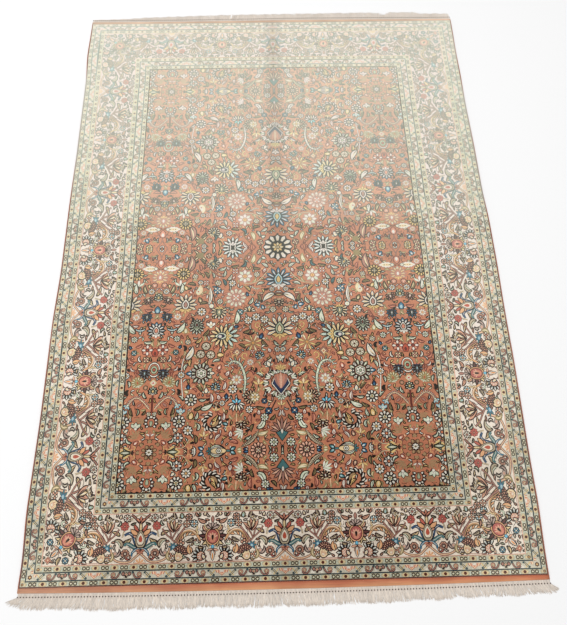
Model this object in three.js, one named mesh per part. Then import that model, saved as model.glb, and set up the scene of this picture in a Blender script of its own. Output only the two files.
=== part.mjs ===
// Hand-knotted silk rug with a flower field, lying flat on a floor.
// Millimetres. +X runs across the rug, +Y along it to the far end, +Z is up.
// The origin is on the floor, under the middle of the whole rug.
// Work is done from the middle of the patterned pile, and the finished group is moved once at the end.

import * as THREE from 'three';
import { mergeVertices } from 'three/addons/utils/BufferGeometryUtils.js';

// Driving dimensions
const PATTERN_WIDTH = 1260;   // across, between the outer plum lines
const PATTERN_LENGTH = 1822;  // along, between the outer plum lines
const PILE_HEIGHT = 5;        // knots and foundation together
const KILIM_WIDTH = 13;       // flat woven band at each end
const KILIM_HEIGHT = 2;
const SELVEDGE_WIDTH = 3;     // overcast cord on each side
const SELVEDGE_HEIGHT = 3.6;
const FRINGE_HEIGHT = 2;
const FRINGE_STRIP = 2.6;     // width of the knotted heading that holds the strands
const STRANDS = 148;          // locks at each end
const SEAM = 0.3;             // clearance between pieces that are sewn to each other

// One fringe lock, as half widths at its root, knot, waist and tip,
// and how far out the knot and the waist lie.
const LOCK = { root: 1.5, knot: 2.0, waist: 1.1, tip: 1.7, knotAt: 4, waistAt: 9 };

// Fringe lengths beyond the kilim band. middle is added at mid width, wave is a slow change across,
// ragged is the difference between neighbours, and corner is lost at the left corner.
const FRINGES = {
  near: { length: 30, middle: 3, wave: 0, ragged: 3.4, corner: 0, seed: 1 },
  far: { length: 24, middle: 0, wave: 2.2, ragged: 3.6, corner: 7, seed: 2 },
};

const HALF_WIDTH = PATTERN_WIDTH / 2;
const HALF_LENGTH = PATTERN_LENGTH / 2;

// How far each side stands outside a straight side, selvedge included.
// along is measured from the middle of the rug.
const SIDE_BOWS = [
  { along: -911, left: 5.0, right: 2.7 },
  { along: -856, left: 3.0, right: 3.7 },
  { along: -747, left: 8.5, right: 8.1 },
  { along: -629, left: 6.8, right: 7.6 },
  { along: -510, left: 4.9, right: 9.8 },
  { along: -364, left: 5.6, right: 12.1 },
  { along: -219, left: 6.4, right: 11.7 },
  { along: -73, left: 1.4, right: 14.2 },
  { along: 91, left: 2.1, right: 13.9 },
  { along: 182, left: 2.5, right: 9.2 },
  { along: 364, left: 0.1, right: 8.6 },
  { along: 547, left: 0.8, right: 4.8 },
  { along: 656, left: 1.2, right: 6.1 },
  { along: 765, left: 8.4, right: 4.0 },
  { along: 875, left: 5.5, right: 5.4 },
  { along: 911, left: 5.0, right: 5.0 },
];

// The folds that storing the rug has left, as soft ridges and troughs in its face.
// axis is the direction in which the fold runs, at is its place on the other axis.
const FOLDS = [
  { axis: 'along', at: 0, height: -1.3, spread: 9 },
  { axis: 'along', at: -30, height: 0.5, spread: 22 },
  { axis: 'along', at: 30, height: 0.5, spread: 22 },
  { axis: 'across', at: 96, height: 1.2, spread: 20 },
  { axis: 'across', at: -232, height: 0.7, spread: 26 },
  { axis: 'across', at: 455, height: 0.5, spread: 30 },
];

// Columns of the pile's face, as shares of the half width.
const FACE_COLUMNS = [-1, -0.93, -0.6, -0.3, -0.1, -0.045, -0.015, 0, 0.015, 0.045, 0.1, 0.3, 0.6, 0.93, 1];
// Rows that follow the cross folds, besides the rows of SIDE_BOWS.
const FOLD_ROWS = [-290, -255, -232, -200, -130, 0, 50, 78, 96, 114, 142, 260, 420, 455, 490];

// Straight-line reading of a table between two of its rows.
function between(rows, key, at) {
  const last = rows.length - 1;
  if (at <= rows[0].along) return rows[0][key];
  if (at >= rows[last].along) return rows[last][key];
  const next = rows.findIndex((row) => row.along >= at);
  const before = rows[next - 1];
  const after = rows[next];
  return THREE.MathUtils.mapLinear(at, before.along, after.along, before[key], after[key]);
}

// Outer edge of the rug's side at a place along it; side is 'left' or 'right'.
function sideEdge(side, y) {
  const out = HALF_WIDTH + between(SIDE_BOWS, side, y);
  return side === 'left' ? -out : out;
}

// The same edge moved inwards by inset.
function insetEdge(side, y, inset) {
  const edge = sideEdge(side, y);
  return edge - Math.sign(edge) * inset;
}

// Lift of the face over its even height, from the fold marks.
function foldLift(x, y) {
  let lift = 0;
  for (const fold of FOLDS) {
    const off = (fold.axis === 'along' ? x : y) - fold.at;
    lift += fold.height * Math.exp(-((off / fold.spread) ** 2));
  }
  return lift;
}

// Outer edge of each kilim band; the near one is fuller in the middle, the far one waves a little.
function kilimEdge(end, x) {
  const share = x / HALF_WIDTH;
  const nearBulge = 5.2 * (1 - share * share) - 1.6;
  const farWave = 1.4 * Math.sin(4.1 * share + 0.7) - 1;
  if (end === 'near') return -(HALF_LENGTH + KILIM_WIDTH + nearBulge);
  return HALF_LENGTH + KILIM_WIDTH + farWave;
}

// A repeatable value from -1 to 1 for lock number i, so that no two neighbours are alike.
function uneven(i, seed) {
  const wave = Math.sin(i * 12.9898 + seed * 78.233) * 43758.5453;
  return 2 * (wave - Math.floor(wave)) - 1;
}

// Closed mesh from corner points and triangles.
function closedMesh(name, points, triangles, material) {
  const geometry = new THREE.BufferGeometry();
  geometry.setAttribute('position', new THREE.Float32BufferAttribute(points.flat(), 3));
  geometry.setIndex(triangles.flat());
  geometry.computeVertexNormals();
  const mesh = new THREE.Mesh(geometry, material);
  mesh.name = name;
  return mesh;
}

// Flat outline in x and y, raised to a height, standing on the floor.
function slab(name, outline, height, material) {
  const shape = new THREE.Shape(outline.map(([x, y]) => new THREE.Vector2(x, y)));
  const raised = new THREE.ExtrudeGeometry(shape, { depth: height, bevelEnabled: false });
  raised.deleteAttribute('normal');
  raised.deleteAttribute('uv');
  const geometry = mergeVertices(raised, 1e-3);
  geometry.computeVertexNormals();
  const mesh = new THREE.Mesh(geometry, material);
  mesh.name = name;
  return mesh;
}

// The knotted pile: a face of rows and columns that carries the fold marks, over a flat underside.
function pile(material) {
  const rows = [...SIDE_BOWS.map((row) => row.along), ...FOLD_ROWS].sort((a, b) => a - b);
  const columns = FACE_COLUMNS.length;
  const inset = SELVEDGE_WIDTH + SEAM;
  const points = [];
  for (const y of rows) {
    const left = insetEdge('left', y, inset);
    const right = insetEdge('right', y, inset);
    for (const share of FACE_COLUMNS) {
      const x = share < 0 ? -share * left : share * right;
      points.push([x, y, PILE_HEIGHT + foldLift(x, y)]);
    }
  }
  const underside = points.length;
  for (const y of rows) {
    points.push([insetEdge('left', y, inset), y, 0]);
    points.push([insetEdge('right', y, inset), y, 0]);
  }

  const top = (row, column) => row * columns + column;
  const bottom = (row, side) => underside + row * 2 + side;
  const triangles = [];
  for (let row = 0; row + 1 < rows.length; row += 1) {
    for (let column = 0; column + 1 < columns; column += 1) {
      triangles.push([top(row, column), top(row, column + 1), top(row + 1, column + 1)]);
      triangles.push([top(row, column), top(row + 1, column + 1), top(row + 1, column)]);
    }
    const edge = columns - 1;
    triangles.push([bottom(row, 0), bottom(row + 1, 1), bottom(row, 1)]);
    triangles.push([bottom(row, 0), bottom(row + 1, 0), bottom(row + 1, 1)]);
    triangles.push([bottom(row, 0), top(row, 0), top(row + 1, 0)]);
    triangles.push([bottom(row, 0), top(row + 1, 0), bottom(row + 1, 0)]);
    triangles.push([bottom(row, 1), top(row + 1, edge), top(row, edge)]);
    triangles.push([bottom(row, 1), bottom(row + 1, 1), top(row + 1, edge)]);
  }
  const far = rows.length - 1;
  for (let column = 0; column + 1 < columns; column += 1) {
    triangles.push([bottom(0, 0), top(0, column + 1), top(0, column)]);
    triangles.push([bottom(far, 0), top(far, column), top(far, column + 1)]);
  }
  triangles.push([bottom(0, 0), bottom(0, 1), top(0, columns - 1)]);
  triangles.push([bottom(far, 0), top(far, columns - 1), bottom(far, 1)]);
  return closedMesh('rug_pile', points, triangles, material);
}

// Overcast side cord: a low bar with rounded shoulders that follows the side's bow,
// past the kilim bands at both ends.
function selvedge(side, material) {
  const outward = side === 'left' ? -1 : 1;
  const stations = [
    kilimEdge('near', sideEdge(side, -HALF_LENGTH)),
    ...SIDE_BOWS.map((row) => row.along),
    kilimEdge('far', sideEdge(side, HALF_LENGTH)),
  ];
  const section = [
    [0, 0],
    [SELVEDGE_WIDTH - 0.4, 0],
    [SELVEDGE_WIDTH, SELVEDGE_HEIGHT * 0.45],
    [SELVEDGE_WIDTH * 0.72, SELVEDGE_HEIGHT * 0.92],
    [SELVEDGE_WIDTH * 0.4, SELVEDGE_HEIGHT],
    [0, SELVEDGE_HEIGHT * 0.86],
  ];
  const points = [];
  for (const y of stations) {
    const inner = insetEdge(side, y, SELVEDGE_WIDTH);
    for (const [out, up] of section) points.push([inner + outward * out, y, up]);
  }
  const around = section.length;
  const at = (station, corner) => station * around + (corner % around);
  const triangles = [];
  for (let station = 0; station + 1 < stations.length; station += 1) {
    for (let corner = 0; corner < around; corner += 1) {
      triangles.push([at(station, corner), at(station + 1, corner + 1), at(station, corner + 1)]);
      triangles.push([at(station, corner), at(station + 1, corner), at(station + 1, corner + 1)]);
    }
  }
  const last = stations.length - 1;
  for (let corner = 1; corner + 1 < around; corner += 1) {
    triangles.push([at(0, 0), at(0, corner), at(0, corner + 1)]);
    triangles.push([at(last, 0), at(last, corner + 1), at(last, corner)]);
  }
  if (side === 'right') return closedMesh('selvedge_right', points, triangles, material);
  const turned = triangles.map(([a, b, c]) => [a, c, b]);
  return closedMesh('selvedge_left', points, turned, material);
}

// Even stations across the rug between the two side cords.
function acrossStations(y, count) {
  const left = insetEdge('left', y, SELVEDGE_WIDTH + SEAM);
  const right = insetEdge('right', y, SELVEDGE_WIDTH + SEAM);
  return Array.from({ length: count + 1 }, (_, i) => left + ((right - left) * i) / count);
}

// Flat woven band between the pile and the fringe.
function kilim(end, material) {
  const inner = end === 'near' ? -(HALF_LENGTH + SEAM) : HALF_LENGTH + SEAM;
  const across = acrossStations(inner, 24);
  const outline = [
    ...across.map((x) => [x, kilimEdge(end, x)]),
    [across[across.length - 1], inner],
    [across[0], inner],
  ];
  return slab(`kilim_${end}`, outline, KILIM_HEIGHT, material);
}

// Length of lock number i beyond the kilim band.
function strandLength(end, i) {
  const { length, middle, wave, ragged, corner, seed } = FRINGES[end];
  const share = i / (STRANDS - 1);
  const slow = middle * Math.sin(Math.PI * share) + wave * Math.sin(9 * share);
  return length + slow + ragged * uneven(i, seed) - corner * Math.exp(-((share / 0.05) ** 2));
}

// One fringe: a narrow knotted heading along the band's edge with flat locks hanging out of it.
// A lock swells at its knot, thins below it, spreads a little at its tip and leans to one side.
function fringe(end, material) {
  const outward = end === 'near' ? -1 : 1;
  const edgeY = outward * HALF_LENGTH;
  const ends = acrossStations(edgeY, STRANDS);
  const pitch = ends[1] - ends[0];
  const root = (x) => kilimEdge(end, x) + outward * (SEAM + FRINGE_STRIP);
  const outline = [];
  for (let i = 0; i < STRANDS; i += 1) {
    const x = ends[i] + pitch / 2;
    const y = root(x) + 0.3 * uneven(i, 5);
    const length = strandLength(end, i) - FRINGE_STRIP;
    const waistAt = Math.min(LOCK.waistAt, 0.6 * length);
    const lean = 1.3 * uneven(i, 3);
    const slant = 1.5 * uneven(i, 4);
    outline.push([x - LOCK.root, y - 0.2]);
    outline.push([x - LOCK.knot, y + outward * LOCK.knotAt]);
    outline.push([x - LOCK.waist + 0.3 * lean, y + outward * waistAt]);
    outline.push([x - LOCK.tip + lean, y + outward * length]);
    outline.push([x + LOCK.tip + lean, y + outward * (length - slant)]);
    outline.push([x + LOCK.waist + 0.3 * lean, y + outward * waistAt]);
    outline.push([x + LOCK.knot, y + outward * LOCK.knotAt]);
    outline.push([x + LOCK.root, y]);
  }
  const back = ends.filter((_, i) => i % 6 === 0 || i === STRANDS).reverse();
  outline.push([ends[STRANDS], root(ends[STRANDS])]);
  for (const x of back) outline.push([x, kilimEdge(end, x) + outward * SEAM]);
  outline.push([ends[0], root(ends[0])]);
  return slab(`fringe_${end}`, outline, FRINGE_HEIGHT, material);
}

const silk = new THREE.MeshStandardMaterial({ color: 0xc79a78, roughness: 0.6, metalness: 0 });
const cord = new THREE.MeshStandardMaterial({ color: 0xb9805c, roughness: 0.8, metalness: 0 });
const band = new THREE.MeshStandardMaterial({ color: 0xcd916d, roughness: 0.85, metalness: 0 });
const yarn = new THREE.MeshStandardMaterial({ color: 0xd7cbbe, roughness: 0.8, metalness: 0 });

const rug = new THREE.Group();
rug.add(pile(silk));
for (const side of ['left', 'right']) rug.add(selvedge(side, cord));
for (const end of ['near', 'far']) {
  rug.add(kilim(end, band));
  rug.add(fringe(end, yarn));
}

// Set the middle of the whole rug over the origin.
const middle = new THREE.Box3().setFromObject(rug).getCenter(new THREE.Vector3());
rug.position.set(-middle.x, -middle.y, 0);

export default rug;
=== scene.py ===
"""Hand-knotted silk rug, lying flat on a pale floor and seen from above its near end.

The pile is a mesh whose triangles follow the knotted pattern: each carries the colour of its yarn.
The pattern is drawn from small motif functions and tables, in millimetres from the middle of the rug,
with +Y to the far end. One quarter of it is worked out and mirrored, as the rug itself repeats.
"""

import math
import random
from collections import namedtuple

import bpy
import numpy as np
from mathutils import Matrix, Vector
from mathutils.geometry import delaunay_2d_cdt


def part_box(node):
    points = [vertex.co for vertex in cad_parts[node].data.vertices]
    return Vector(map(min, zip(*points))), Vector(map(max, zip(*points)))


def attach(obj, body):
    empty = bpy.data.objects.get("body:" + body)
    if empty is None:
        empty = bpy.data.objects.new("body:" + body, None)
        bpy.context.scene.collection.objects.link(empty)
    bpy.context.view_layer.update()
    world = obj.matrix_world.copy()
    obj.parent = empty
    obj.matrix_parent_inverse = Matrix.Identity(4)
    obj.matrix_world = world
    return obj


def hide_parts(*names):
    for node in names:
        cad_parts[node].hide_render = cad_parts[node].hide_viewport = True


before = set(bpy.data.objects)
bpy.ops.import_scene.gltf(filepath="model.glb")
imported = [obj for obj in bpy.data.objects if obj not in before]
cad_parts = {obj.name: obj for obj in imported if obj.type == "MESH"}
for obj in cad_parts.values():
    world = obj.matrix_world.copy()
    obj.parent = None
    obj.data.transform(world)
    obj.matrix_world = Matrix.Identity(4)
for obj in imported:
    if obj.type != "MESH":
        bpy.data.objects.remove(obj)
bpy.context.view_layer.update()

# Driving dimensions, in millimetres
MM = 0.001                  # one millimetre in Blender's metres
HALF_WIDTH = 630.0          # patterned pile, from its middle to the outer plum line
HALF_LENGTH = 911.0
BORDER = 213.5              # all stripes of the border together
FIELD_X = HALF_WIDTH - BORDER
FIELD_Y = HALF_LENGTH - BORDER
PILE_TOP = 5.0
PILE_FOOT = 2.3             # the knots stand on the ground weave here
GROUND_TOP = 2.2
PLUM = 2.5                  # outer line of the pattern
SIDE_CORD = 3.0
SEAM = 0.3
KILIM = 13.0
KILIM_TOP = 2.0
CELL_X, CELL_Y = 342.0, -598.0   # far corner of the drawn part of the field
RIM = 2.8                   # dark outline round a motif, one or two knots
FINE_RIM = 2.1

# The rug's middle in Blender's frame
pile_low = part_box("rug_pile")[0]
SHIFT_Y = pile_low.y / MM + HALF_LENGTH

# Yarn colours, as they look in daylight, red, green and blue up to 255
TONES = {
    "ground": (169, 108, 80), "ivory": (204, 197, 182), "cream": (208, 186, 148), "mint": (188, 194, 170),
    "sage": (148, 154, 126), "olive": (124, 108, 72), "gold": (198, 164, 106), "ochre": (182, 130, 74),
    "peach": (212, 158, 120), "brick": (166, 76, 56), "rose": (188, 124, 100), "mauve": (152, 108, 94),
    "maroon": (94, 44, 36), "dark": (29, 16, 10), "navy": (34, 44, 72), "blue": (58, 104, 128),
    "sky": (150, 176, 178), "teal": (66, 104, 104), "ice": (178, 196, 196), "grey": (142, 138, 130),
    "brown": (52, 31, 26), "greige": (168, 152, 126),
    "cloud": (166, 144, 132), "shell": (232, 194, 156), "orange": (202, 132, 72), "deepblue": (52, 72, 98),
    "deepteal": (50, 68, 70), "rosered": (160, 86, 78), "roselight": (204, 158, 132),
    "turquoise": (104, 170, 190), "aqua": (182, 192, 178), "mintpale": (204, 210, 188),
    "nut": (74, 58, 40), "wine": (82, 40, 30), "beadground": (172, 164, 138),
    "vineground": (184, 177, 158),
    "plum": (88, 50, 48), "borderground": (216, 202, 184), "tealline": (30, 46, 52),
    "dusk": (164, 102, 76), "duskolive": (146, 116, 84),
    "roseline": (196, 150, 130), "warp": (216, 204, 186), "fringe": (226, 217, 207),
    # painted shade: the dark dots that stand for the shaded gaps between the fringe's locks
    "gap_shade": (66, 44, 38),
    "line": (44, 24, 22), "dustrose": (194, 144, 118), "dustgold": (204, 178, 134),
    "dustbrick": (172, 92, 76),
    "dustorange": (206, 154, 112), "straw": (198, 168, 110), "palecream": (210, 198, 176),
    "dustred": (166, 86, 76),
}

Tones = namedtuple("Tones", "petal second cup heart edge")

# Sets of tones for the motifs: petals, second petals, cup, heart, outline
SETS = {name: Tones(*row) for name, row in {
    "white": ("ivory", "cream", "mint", "gold", "dark"),
    "daisy": ("ivory", "ivory", "gold", "brick", "dark"),
    "blue": ("blue", "ivory", "sky", "gold", "dark"),
    "sky": ("sky", "ivory", "mint", "ochre", "dark"),
    "rose": ("rose", "ivory", "mauve", "cream", "maroon"),
    "gold": ("gold", "cream", "olive", "ivory", "dark"),
    "sage": ("mint", "ivory", "sage", "gold", "dark"),
    "teal": ("teal", "sky", "ivory", "gold", "dark"),
    "navy": ("navy", "blue", "ivory", "peach", "dark"),
    "mauve": ("mauve", "cream", "rose", "ivory", "dark"),
    "maroon": ("ivory", "mauve", "maroon", "brick", "maroon"),
    "peach": ("peach", "ivory", "brick", "gold", "maroon"),
    "brown": ("olive", "cream", "mauve", "gold", "dark"),
    "dustwheel": ("roselight", "mauve", "cream", "ivory", "brown"),
    "feather": ("greige", "dark", "dark", "ivory", "dark"),
    "dusky": ("duskolive", "duskolive", "duskolive", "duskolive", "dusk"),
    "w_cream": ("ivory", "cream", "gold", "cream", "dark"),
    "gold_white": ("ivory", "gold", "sage", "cream", "dark"),
    "p_shield": ("ivory", "mauve", "rose", "navy", "dark"),
    "p_teal": ("roselight", "mauve", "teal", "ivory", "dark"),
    "p_ice": ("ice", "ivory", "ivory", "dark", "dark"),
    "dusk": ("dusk", "duskolive", "ivory", "olive", "dark"),
    "p_lily": ("straw", "sage", "brown", "ivory", "dark"),
    "p_onion": ("mint", "straw", "teal", "ivory", "dark"),
    "ochreline": ("gold",) * 5,
    "creamline": ("cream",) * 5,
    "darkline": ("dark",) * 5,
    "m_rose": ("rose",) * 5,
    "m_olive": ("duskolive", "olive", "olive", "olive", "olive"),
    "m_mauve": ("mauve",) * 5,
    "beige": ("cream", "mint", "gold", "brick", "olive"),
    "p_pink": ("mint", "gold", "rose", "ivory", "mauve"),
    "daisy8": ("ivory", "mint", "gold", "brick", "mauve"),
    "shade": ("dark",) * 5,
    "p_mauve": ("mint", "rose", "ivory", "mint", "mauve"),
    "p_stripe": ("ivory", "gold", "ivory", "mauve", "dark"),
    "p_green": ("ivory", "sage", "mint", "maroon", "dark"),
    "p_bluedark": ("blue", "navy", "sky", "ivory", "dark"),
    "p_eye": ("blue", "sky", "ivory", "ivory", "dark"),
    "p_fan": ("blue", "ivory", "ivory", "rose", "dark"),
    "goldc": ("gold", "gold", "gold", "gold", "brown"),
    "yellow": ("straw", "cream", "ochre", "olive", "nut"),
    "twig": ("dark", "maroon", "dark", "dark", "dark"),
    "p_light": ("mint", "sky", "mint", "mauve", "dark"),
    "p_yellow": ("cream", "straw", "mint", "navy", "dark"),
    "grey": ("greige", "mint", "ivory", "maroon", "dark"),
    "brownl": ("mauve", "cream", "mauve", "ground", "dark"),
    "mintsaz": ("mint", "ivory", "sage", "olive", "dark"),
    "redstar": ("maroon", "ivory", "brick", "ivory", "dark"),
    "p_maroon": ("ivory", "rose", "maroon", "brick", "maroon"),
    "p_red": ("brick", "maroon", "rose", "brick", "maroon"),
    "p_oval": ("ivory", "sage", "dusk", "brick", "dark"),
    "p_greyblue": ("grey", "navy", "grey", "sky", "dark"),
    "cream": ("cream", "ivory", "gold", "brick", "olive"),
    "p_bluetop": ("ivory", "turquoise", "cream", "brick", "dark"),
    "mint": ("mint", "ivory", "gold", "brick", "dark"),
    "p_ring": ("ivory", "roselight", "duskolive", "straw", "dark"),
    "daisyb": ("ivory", "grey", "brick", "gold", "dark"),
    "p_mint": ("mint", "ivory", "ivory", "rose", "dark"),
    "p_shoe": ("ivory", "dusk", "sage", "olive", "dark"),
    "p_spray": ("ivory", "dusk", "sage", "ivory", "maroon"),
    "rosearc": ("dustrose", "cream", "mauve", "dustgold", "line"),
    "brownflower": ("ivory", "palecream", "mauve", "dustbrick", "line"),
    "brownb": ("palecream", "dustgold", "mauve", "dustgold", "line"),
    "carnation": ("dustred", "dustbrick", "dustred", "dustrose", "line"),
    "green": ("sage", "mint", "olive", "dustgold", "line"),
    "parrot": ("dustrose", "palecream", "mauve", "dustgold", "line"),
    "olive": ("dustgold", "palecream", "olive", "dustgold", "line"),
    "greyolive": ("greige", "mint", "olive", "dustgold", "line"),
    "goldbrown": ("dustgold", "ivory", "dustbrick", "cream", "line"),
    "bluebird": ("teal", "sky", "blue", "sky", "navy"),
    "bubble": ("palecream", "dustrose", "line", "cream", "line"),
    "crown": ("mauve", "palecream", "cream", "cream", "line"),
    "orange": ("dustorange", "dustgold", "peach", "cream", "line"),
    "shell": ("ivory", "sky", "dustbrick", "dustrose", "dark"),
    "sazarc": ("dustorange", "palecream", "mint", "olive", "line"),
    "pinkb": ("dustrose", "palecream", "mauve", "dustgold", "line"),
    "cloudf": ("cloud", "dustrose", "line", "dustgold", "line"),
    "greenb": ("sage", "sky", "olive", "dustgold", "line"),
    "daisyd": ("ivory", "sky", "dustorange", "dustbrick", "dark"),
    "rosel": ("dustrose", "dustbrick", "mauve", "cream", "line"),
    "rosetuft": ("dustrose", "mauve", "palecream", "dustred", "line"),
}.items()}


# Outline helpers. An outline is a list of points; a shape is an outline and its tone.

def turned(points, angle, x=0.0, y=0.0):
    """The outline turned by an angle in radians, then moved."""
    c = math.cos(angle)
    s = math.sin(angle)
    return [(x + c * px - s * py, y + s * px + c * py) for px, py in points]


def place(shapes, x, y, angle=0.0):
    """Shapes turned by an angle in degrees, then moved."""
    return [(turned(outline, math.radians(angle), x, y), tone) for outline, tone in shapes]


def mirrored(shapes, flip_x, flip_y, about_x=0.0, about_y=0.0):
    """Shapes mirrored about an upright line, a level line or both."""
    sx = -1 if flip_x else 1
    sy = -1 if flip_y else 1
    out = []
    for outline, tone in shapes:
        out.append(([(about_x + sx * (x - about_x), about_y + sy * (y - about_y)) for x, y in outline],
                    tone))
    return out


def sides_for(length):
    """How many steps a curved edge of this length needs."""
    return max(2, min(9, round(1.2 + length / 6)))


def oval(width, length, count=None):
    """Oval of count corners, or as many as its size needs."""
    count = count or max(5, min(18, round(4 + (width + length) * 0.24)))
    turns = [2 * math.pi * i / count for i in range(count)]
    return [(width / 2 * math.sin(a), length / 2 * math.cos(a)) for a in turns]


def disc(radius, count=None):
    """Round outline."""
    return oval(2 * radius, 2 * radius, count)


def lobed(radius, lobes, depth, steps=2):
    """Round outline of even lobes."""
    out = []
    for i in range(lobes * steps):
        a = 2 * math.pi * i / (lobes * steps)
        r = radius * (1 - depth * abs(math.sin(lobes * a / 2)))
        out.append((r * math.sin(a), r * math.cos(a)))
    return out


def blade(length, width, bend=0.0, belly=0.5, base=0.15, steps=None, teeth=0.0):
    """Leaf from the origin along +y. It turns by bend radians, and is widest at the share belly."""
    steps = steps or sides_for(length)
    power = math.log(0.5) / math.log(belly)
    left = []
    right = []
    x = y = 0.0
    heading = -bend / 2
    for i in range(steps):
        t = i / steps
        half = width / 2 * (base * (1 - t) + math.sin(math.pi * t ** power) * (1 - base * (1 - t)))
        if teeth and i:
            half *= 1 + teeth * (1 if i % 2 else -1)
        across = math.cos(heading) * half
        down = math.sin(heading) * half
        left.append((x - across, y + down))
        right.append((x + across, y - down))
        x += math.sin(heading) * length / steps
        y += math.cos(heading) * length / steps
        heading += bend / steps
    return left + [(x, y)] + right[::-1]


def grown(points, by):
    """The outline moved outwards."""
    n = len(points)
    area = sum(points[i - 1][0] * points[i][1] - points[i][0] * points[i - 1][1] for i in range(n))
    sign = 1 if area > 0 else -1
    out = []
    for i, (x, y) in enumerate(points):
        dx = points[(i + 1) % n][0] - points[i - 1][0]
        dy = points[(i + 1) % n][1] - points[i - 1][1]
        length = math.hypot(dx, dy) or 1.0
        out.append((x + sign * dy / length * by, y - sign * dx / length * by))
    return out


def girth(points):
    """Area over half the way round: about half as wide as a leaf, and a disc's radius."""
    area = 0.0
    around = 0.0
    for i, (x, y) in enumerate(points):
        before_x, before_y = points[i - 1]
        area += before_x * y - x * before_y
        around += math.hypot(x - before_x, y - before_y)
    return abs(area) / (around or 1.0)


def edged(points, fill, edge=None, rim=RIM):
    """A filled outline with a rim of another tone, partly outside it and partly taken from the fill."""
    if not edge:
        return [(points, fill)]
    inset = min(0.42 * rim, 0.42 * girth(points))
    return [(grown(points, rim - inset), edge), (grown(points, -inset), fill)]


def curve_through(points, per):
    """Smooth line through the points, with per steps between two of them."""
    out = []
    last = len(points) - 1
    for i in range(last):
        corners = (points[max(i - 1, 0)], points[i], points[i + 1], points[min(i + 2, last)])
        for k in range(per):
            t = k / per
            out.append(tuple(
                0.5 * (2 * b + (c - a) * t + (2 * a - 5 * b + 4 * c - d) * t * t
                       + (3 * b - a - 3 * c + d) * t ** 3)
                for a, b, c, d in zip(*corners)))
    out.append(points[-1])
    return out


def ribbon(points, width, taper=0.0, per=3):
    """Band of an even width, or one that tapers, along a smooth line."""
    path = curve_through(points, per)
    left = []
    right = []
    last = len(path) - 1
    for i, (x, y) in enumerate(path):
        ax, ay = path[max(i - 1, 0)]
        bx, by = path[min(i + 1, last)]
        length = math.hypot(bx - ax, by - ay) or 1.0
        half = width / 2 * (1 - taper * i / last)
        nx = (by - ay) / length * half
        ny = (bx - ax) / length * half
        left.append((x - nx, y + ny))
        right.append((x + nx, y - ny))
    return left + right[::-1]


def edged_ribbon(points, width, tone, edge, rim=FINE_RIM, taper=0.0, per=3):
    """A ribbon on a wider one of the outline's tone."""
    return [(ribbon(points, width + 2 * rim, taper, per), edge), (ribbon(points, width, taper, per), tone)]


def fan(n, spread, inner, reach, width, fill, edge=None, rim=FINE_RIM, middle=1.0):
    """n petals from a centre, over spread degrees about +y; middle makes the middle ones longer."""
    shapes = []
    for i in range(n):
        share = 0 if n == 1 else 2 * i / (n - 1) - 1
        a = math.radians(spread / 2) * share
        length = (reach - inner) * (1 + (middle - 1) * (1 - abs(share)))
        petal = blade(length, width, belly=0.6, base=0.4, steps=3 if length > 8 else 2)
        shapes += edged(turned(petal, -a, inner * math.sin(a), inner * math.cos(a)), fill, edge, rim)
    return shapes


def around(one, count, reach, phase=0.0, whole=None):
    """Copies of an outline set evenly round the origin, their feet at reach and their tips outwards."""
    angles = [2 * math.pi * (i + phase) / (whole or count) for i in range(count)]
    return [turned(one, -a, reach * math.sin(a), reach * math.cos(a)) for a in angles]


def edged_ring(one, count, reach, fill, edge, rim, phase=0.0):
    """Such copies, each with its own rim."""
    shapes = []
    for outline in around(one, count, reach, phase):
        shapes += edged(outline, fill, edge, rim)
    return shapes


# Motifs. Each is drawn about the origin and points along +y. r is its reach in millimetres, t its tones.

def flower(r, t):
    """Round flower of petals in two tones by turns, round a cup."""
    n = 6 if r < 7.5 else 8
    shapes = [(lobed(r + 1.4, n, 0.12), t.edge)]
    wide = max(2 * math.pi * r * 0.66 / n - 1.4, 2.0)
    one = blade(r * 0.62, wide, belly=0.6, base=0.5, steps=2)
    for i, outline in enumerate(around(one, n, r * 0.36)):
        shapes.append((outline, t.second if i % 2 else t.petal))
    shapes.append((disc(r * 0.25, 6), t.cup))
    if r > 7:
        shapes.append((disc(r * 0.11, 5), t.heart))
    return shapes


def wheel(r, t):
    """Large round flower: a ring of split petals round an inner flower."""
    n = 9 if r < 20 else 12
    shapes = [(lobed(r + 1.6, n, 0.12), t.edge)]
    outer = blade(r * 0.46, 2 * math.pi * r * 0.50 / n, belly=0.6, base=0.5, steps=3)
    inner = blade(r * 0.24, 2 * math.pi * r * 0.16 / n, belly=0.6, base=0.5, steps=2)
    for big, small in zip(around(outer, n, r * 0.52), around(inner, n, r * 0.54)):
        shapes.append((big, t.petal))
        if r > 20:
            shapes.append((small, t.second))
    shapes.append((disc(r * 0.48), t.edge))
    shapes += flower(r * 0.40, Tones(t.second, t.cup, t.heart, t.edge, t.edge))
    return shapes


def dusky_wheel(r, t):
    """Large round flower left in the ground's own dusk, with a dark curled rim and a small pale heart."""
    shapes = edged_ring(oval(r * 0.62, r * 0.58, 10), 8, r * 0.72, t.petal, t.edge, 1.6, phase=0.5)
    inner = blade(r * 0.42, r * 0.30, belly=0.6, base=0.5, steps=3)
    shapes += edged_ring(inner, 8, r * 0.56, t.second, t.edge, 1.4)
    shapes.append((disc(r * 0.70), t.petal))
    shapes += edged_ring(oval(r * 0.24, r * 0.30, 7), 8, r * 0.42, t.second, t.edge, 1.4, phase=0.5)
    shapes += flower(r * 0.24, Tones(t.cup, t.cup, t.heart, t.edge, t.edge))
    return shapes


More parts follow.
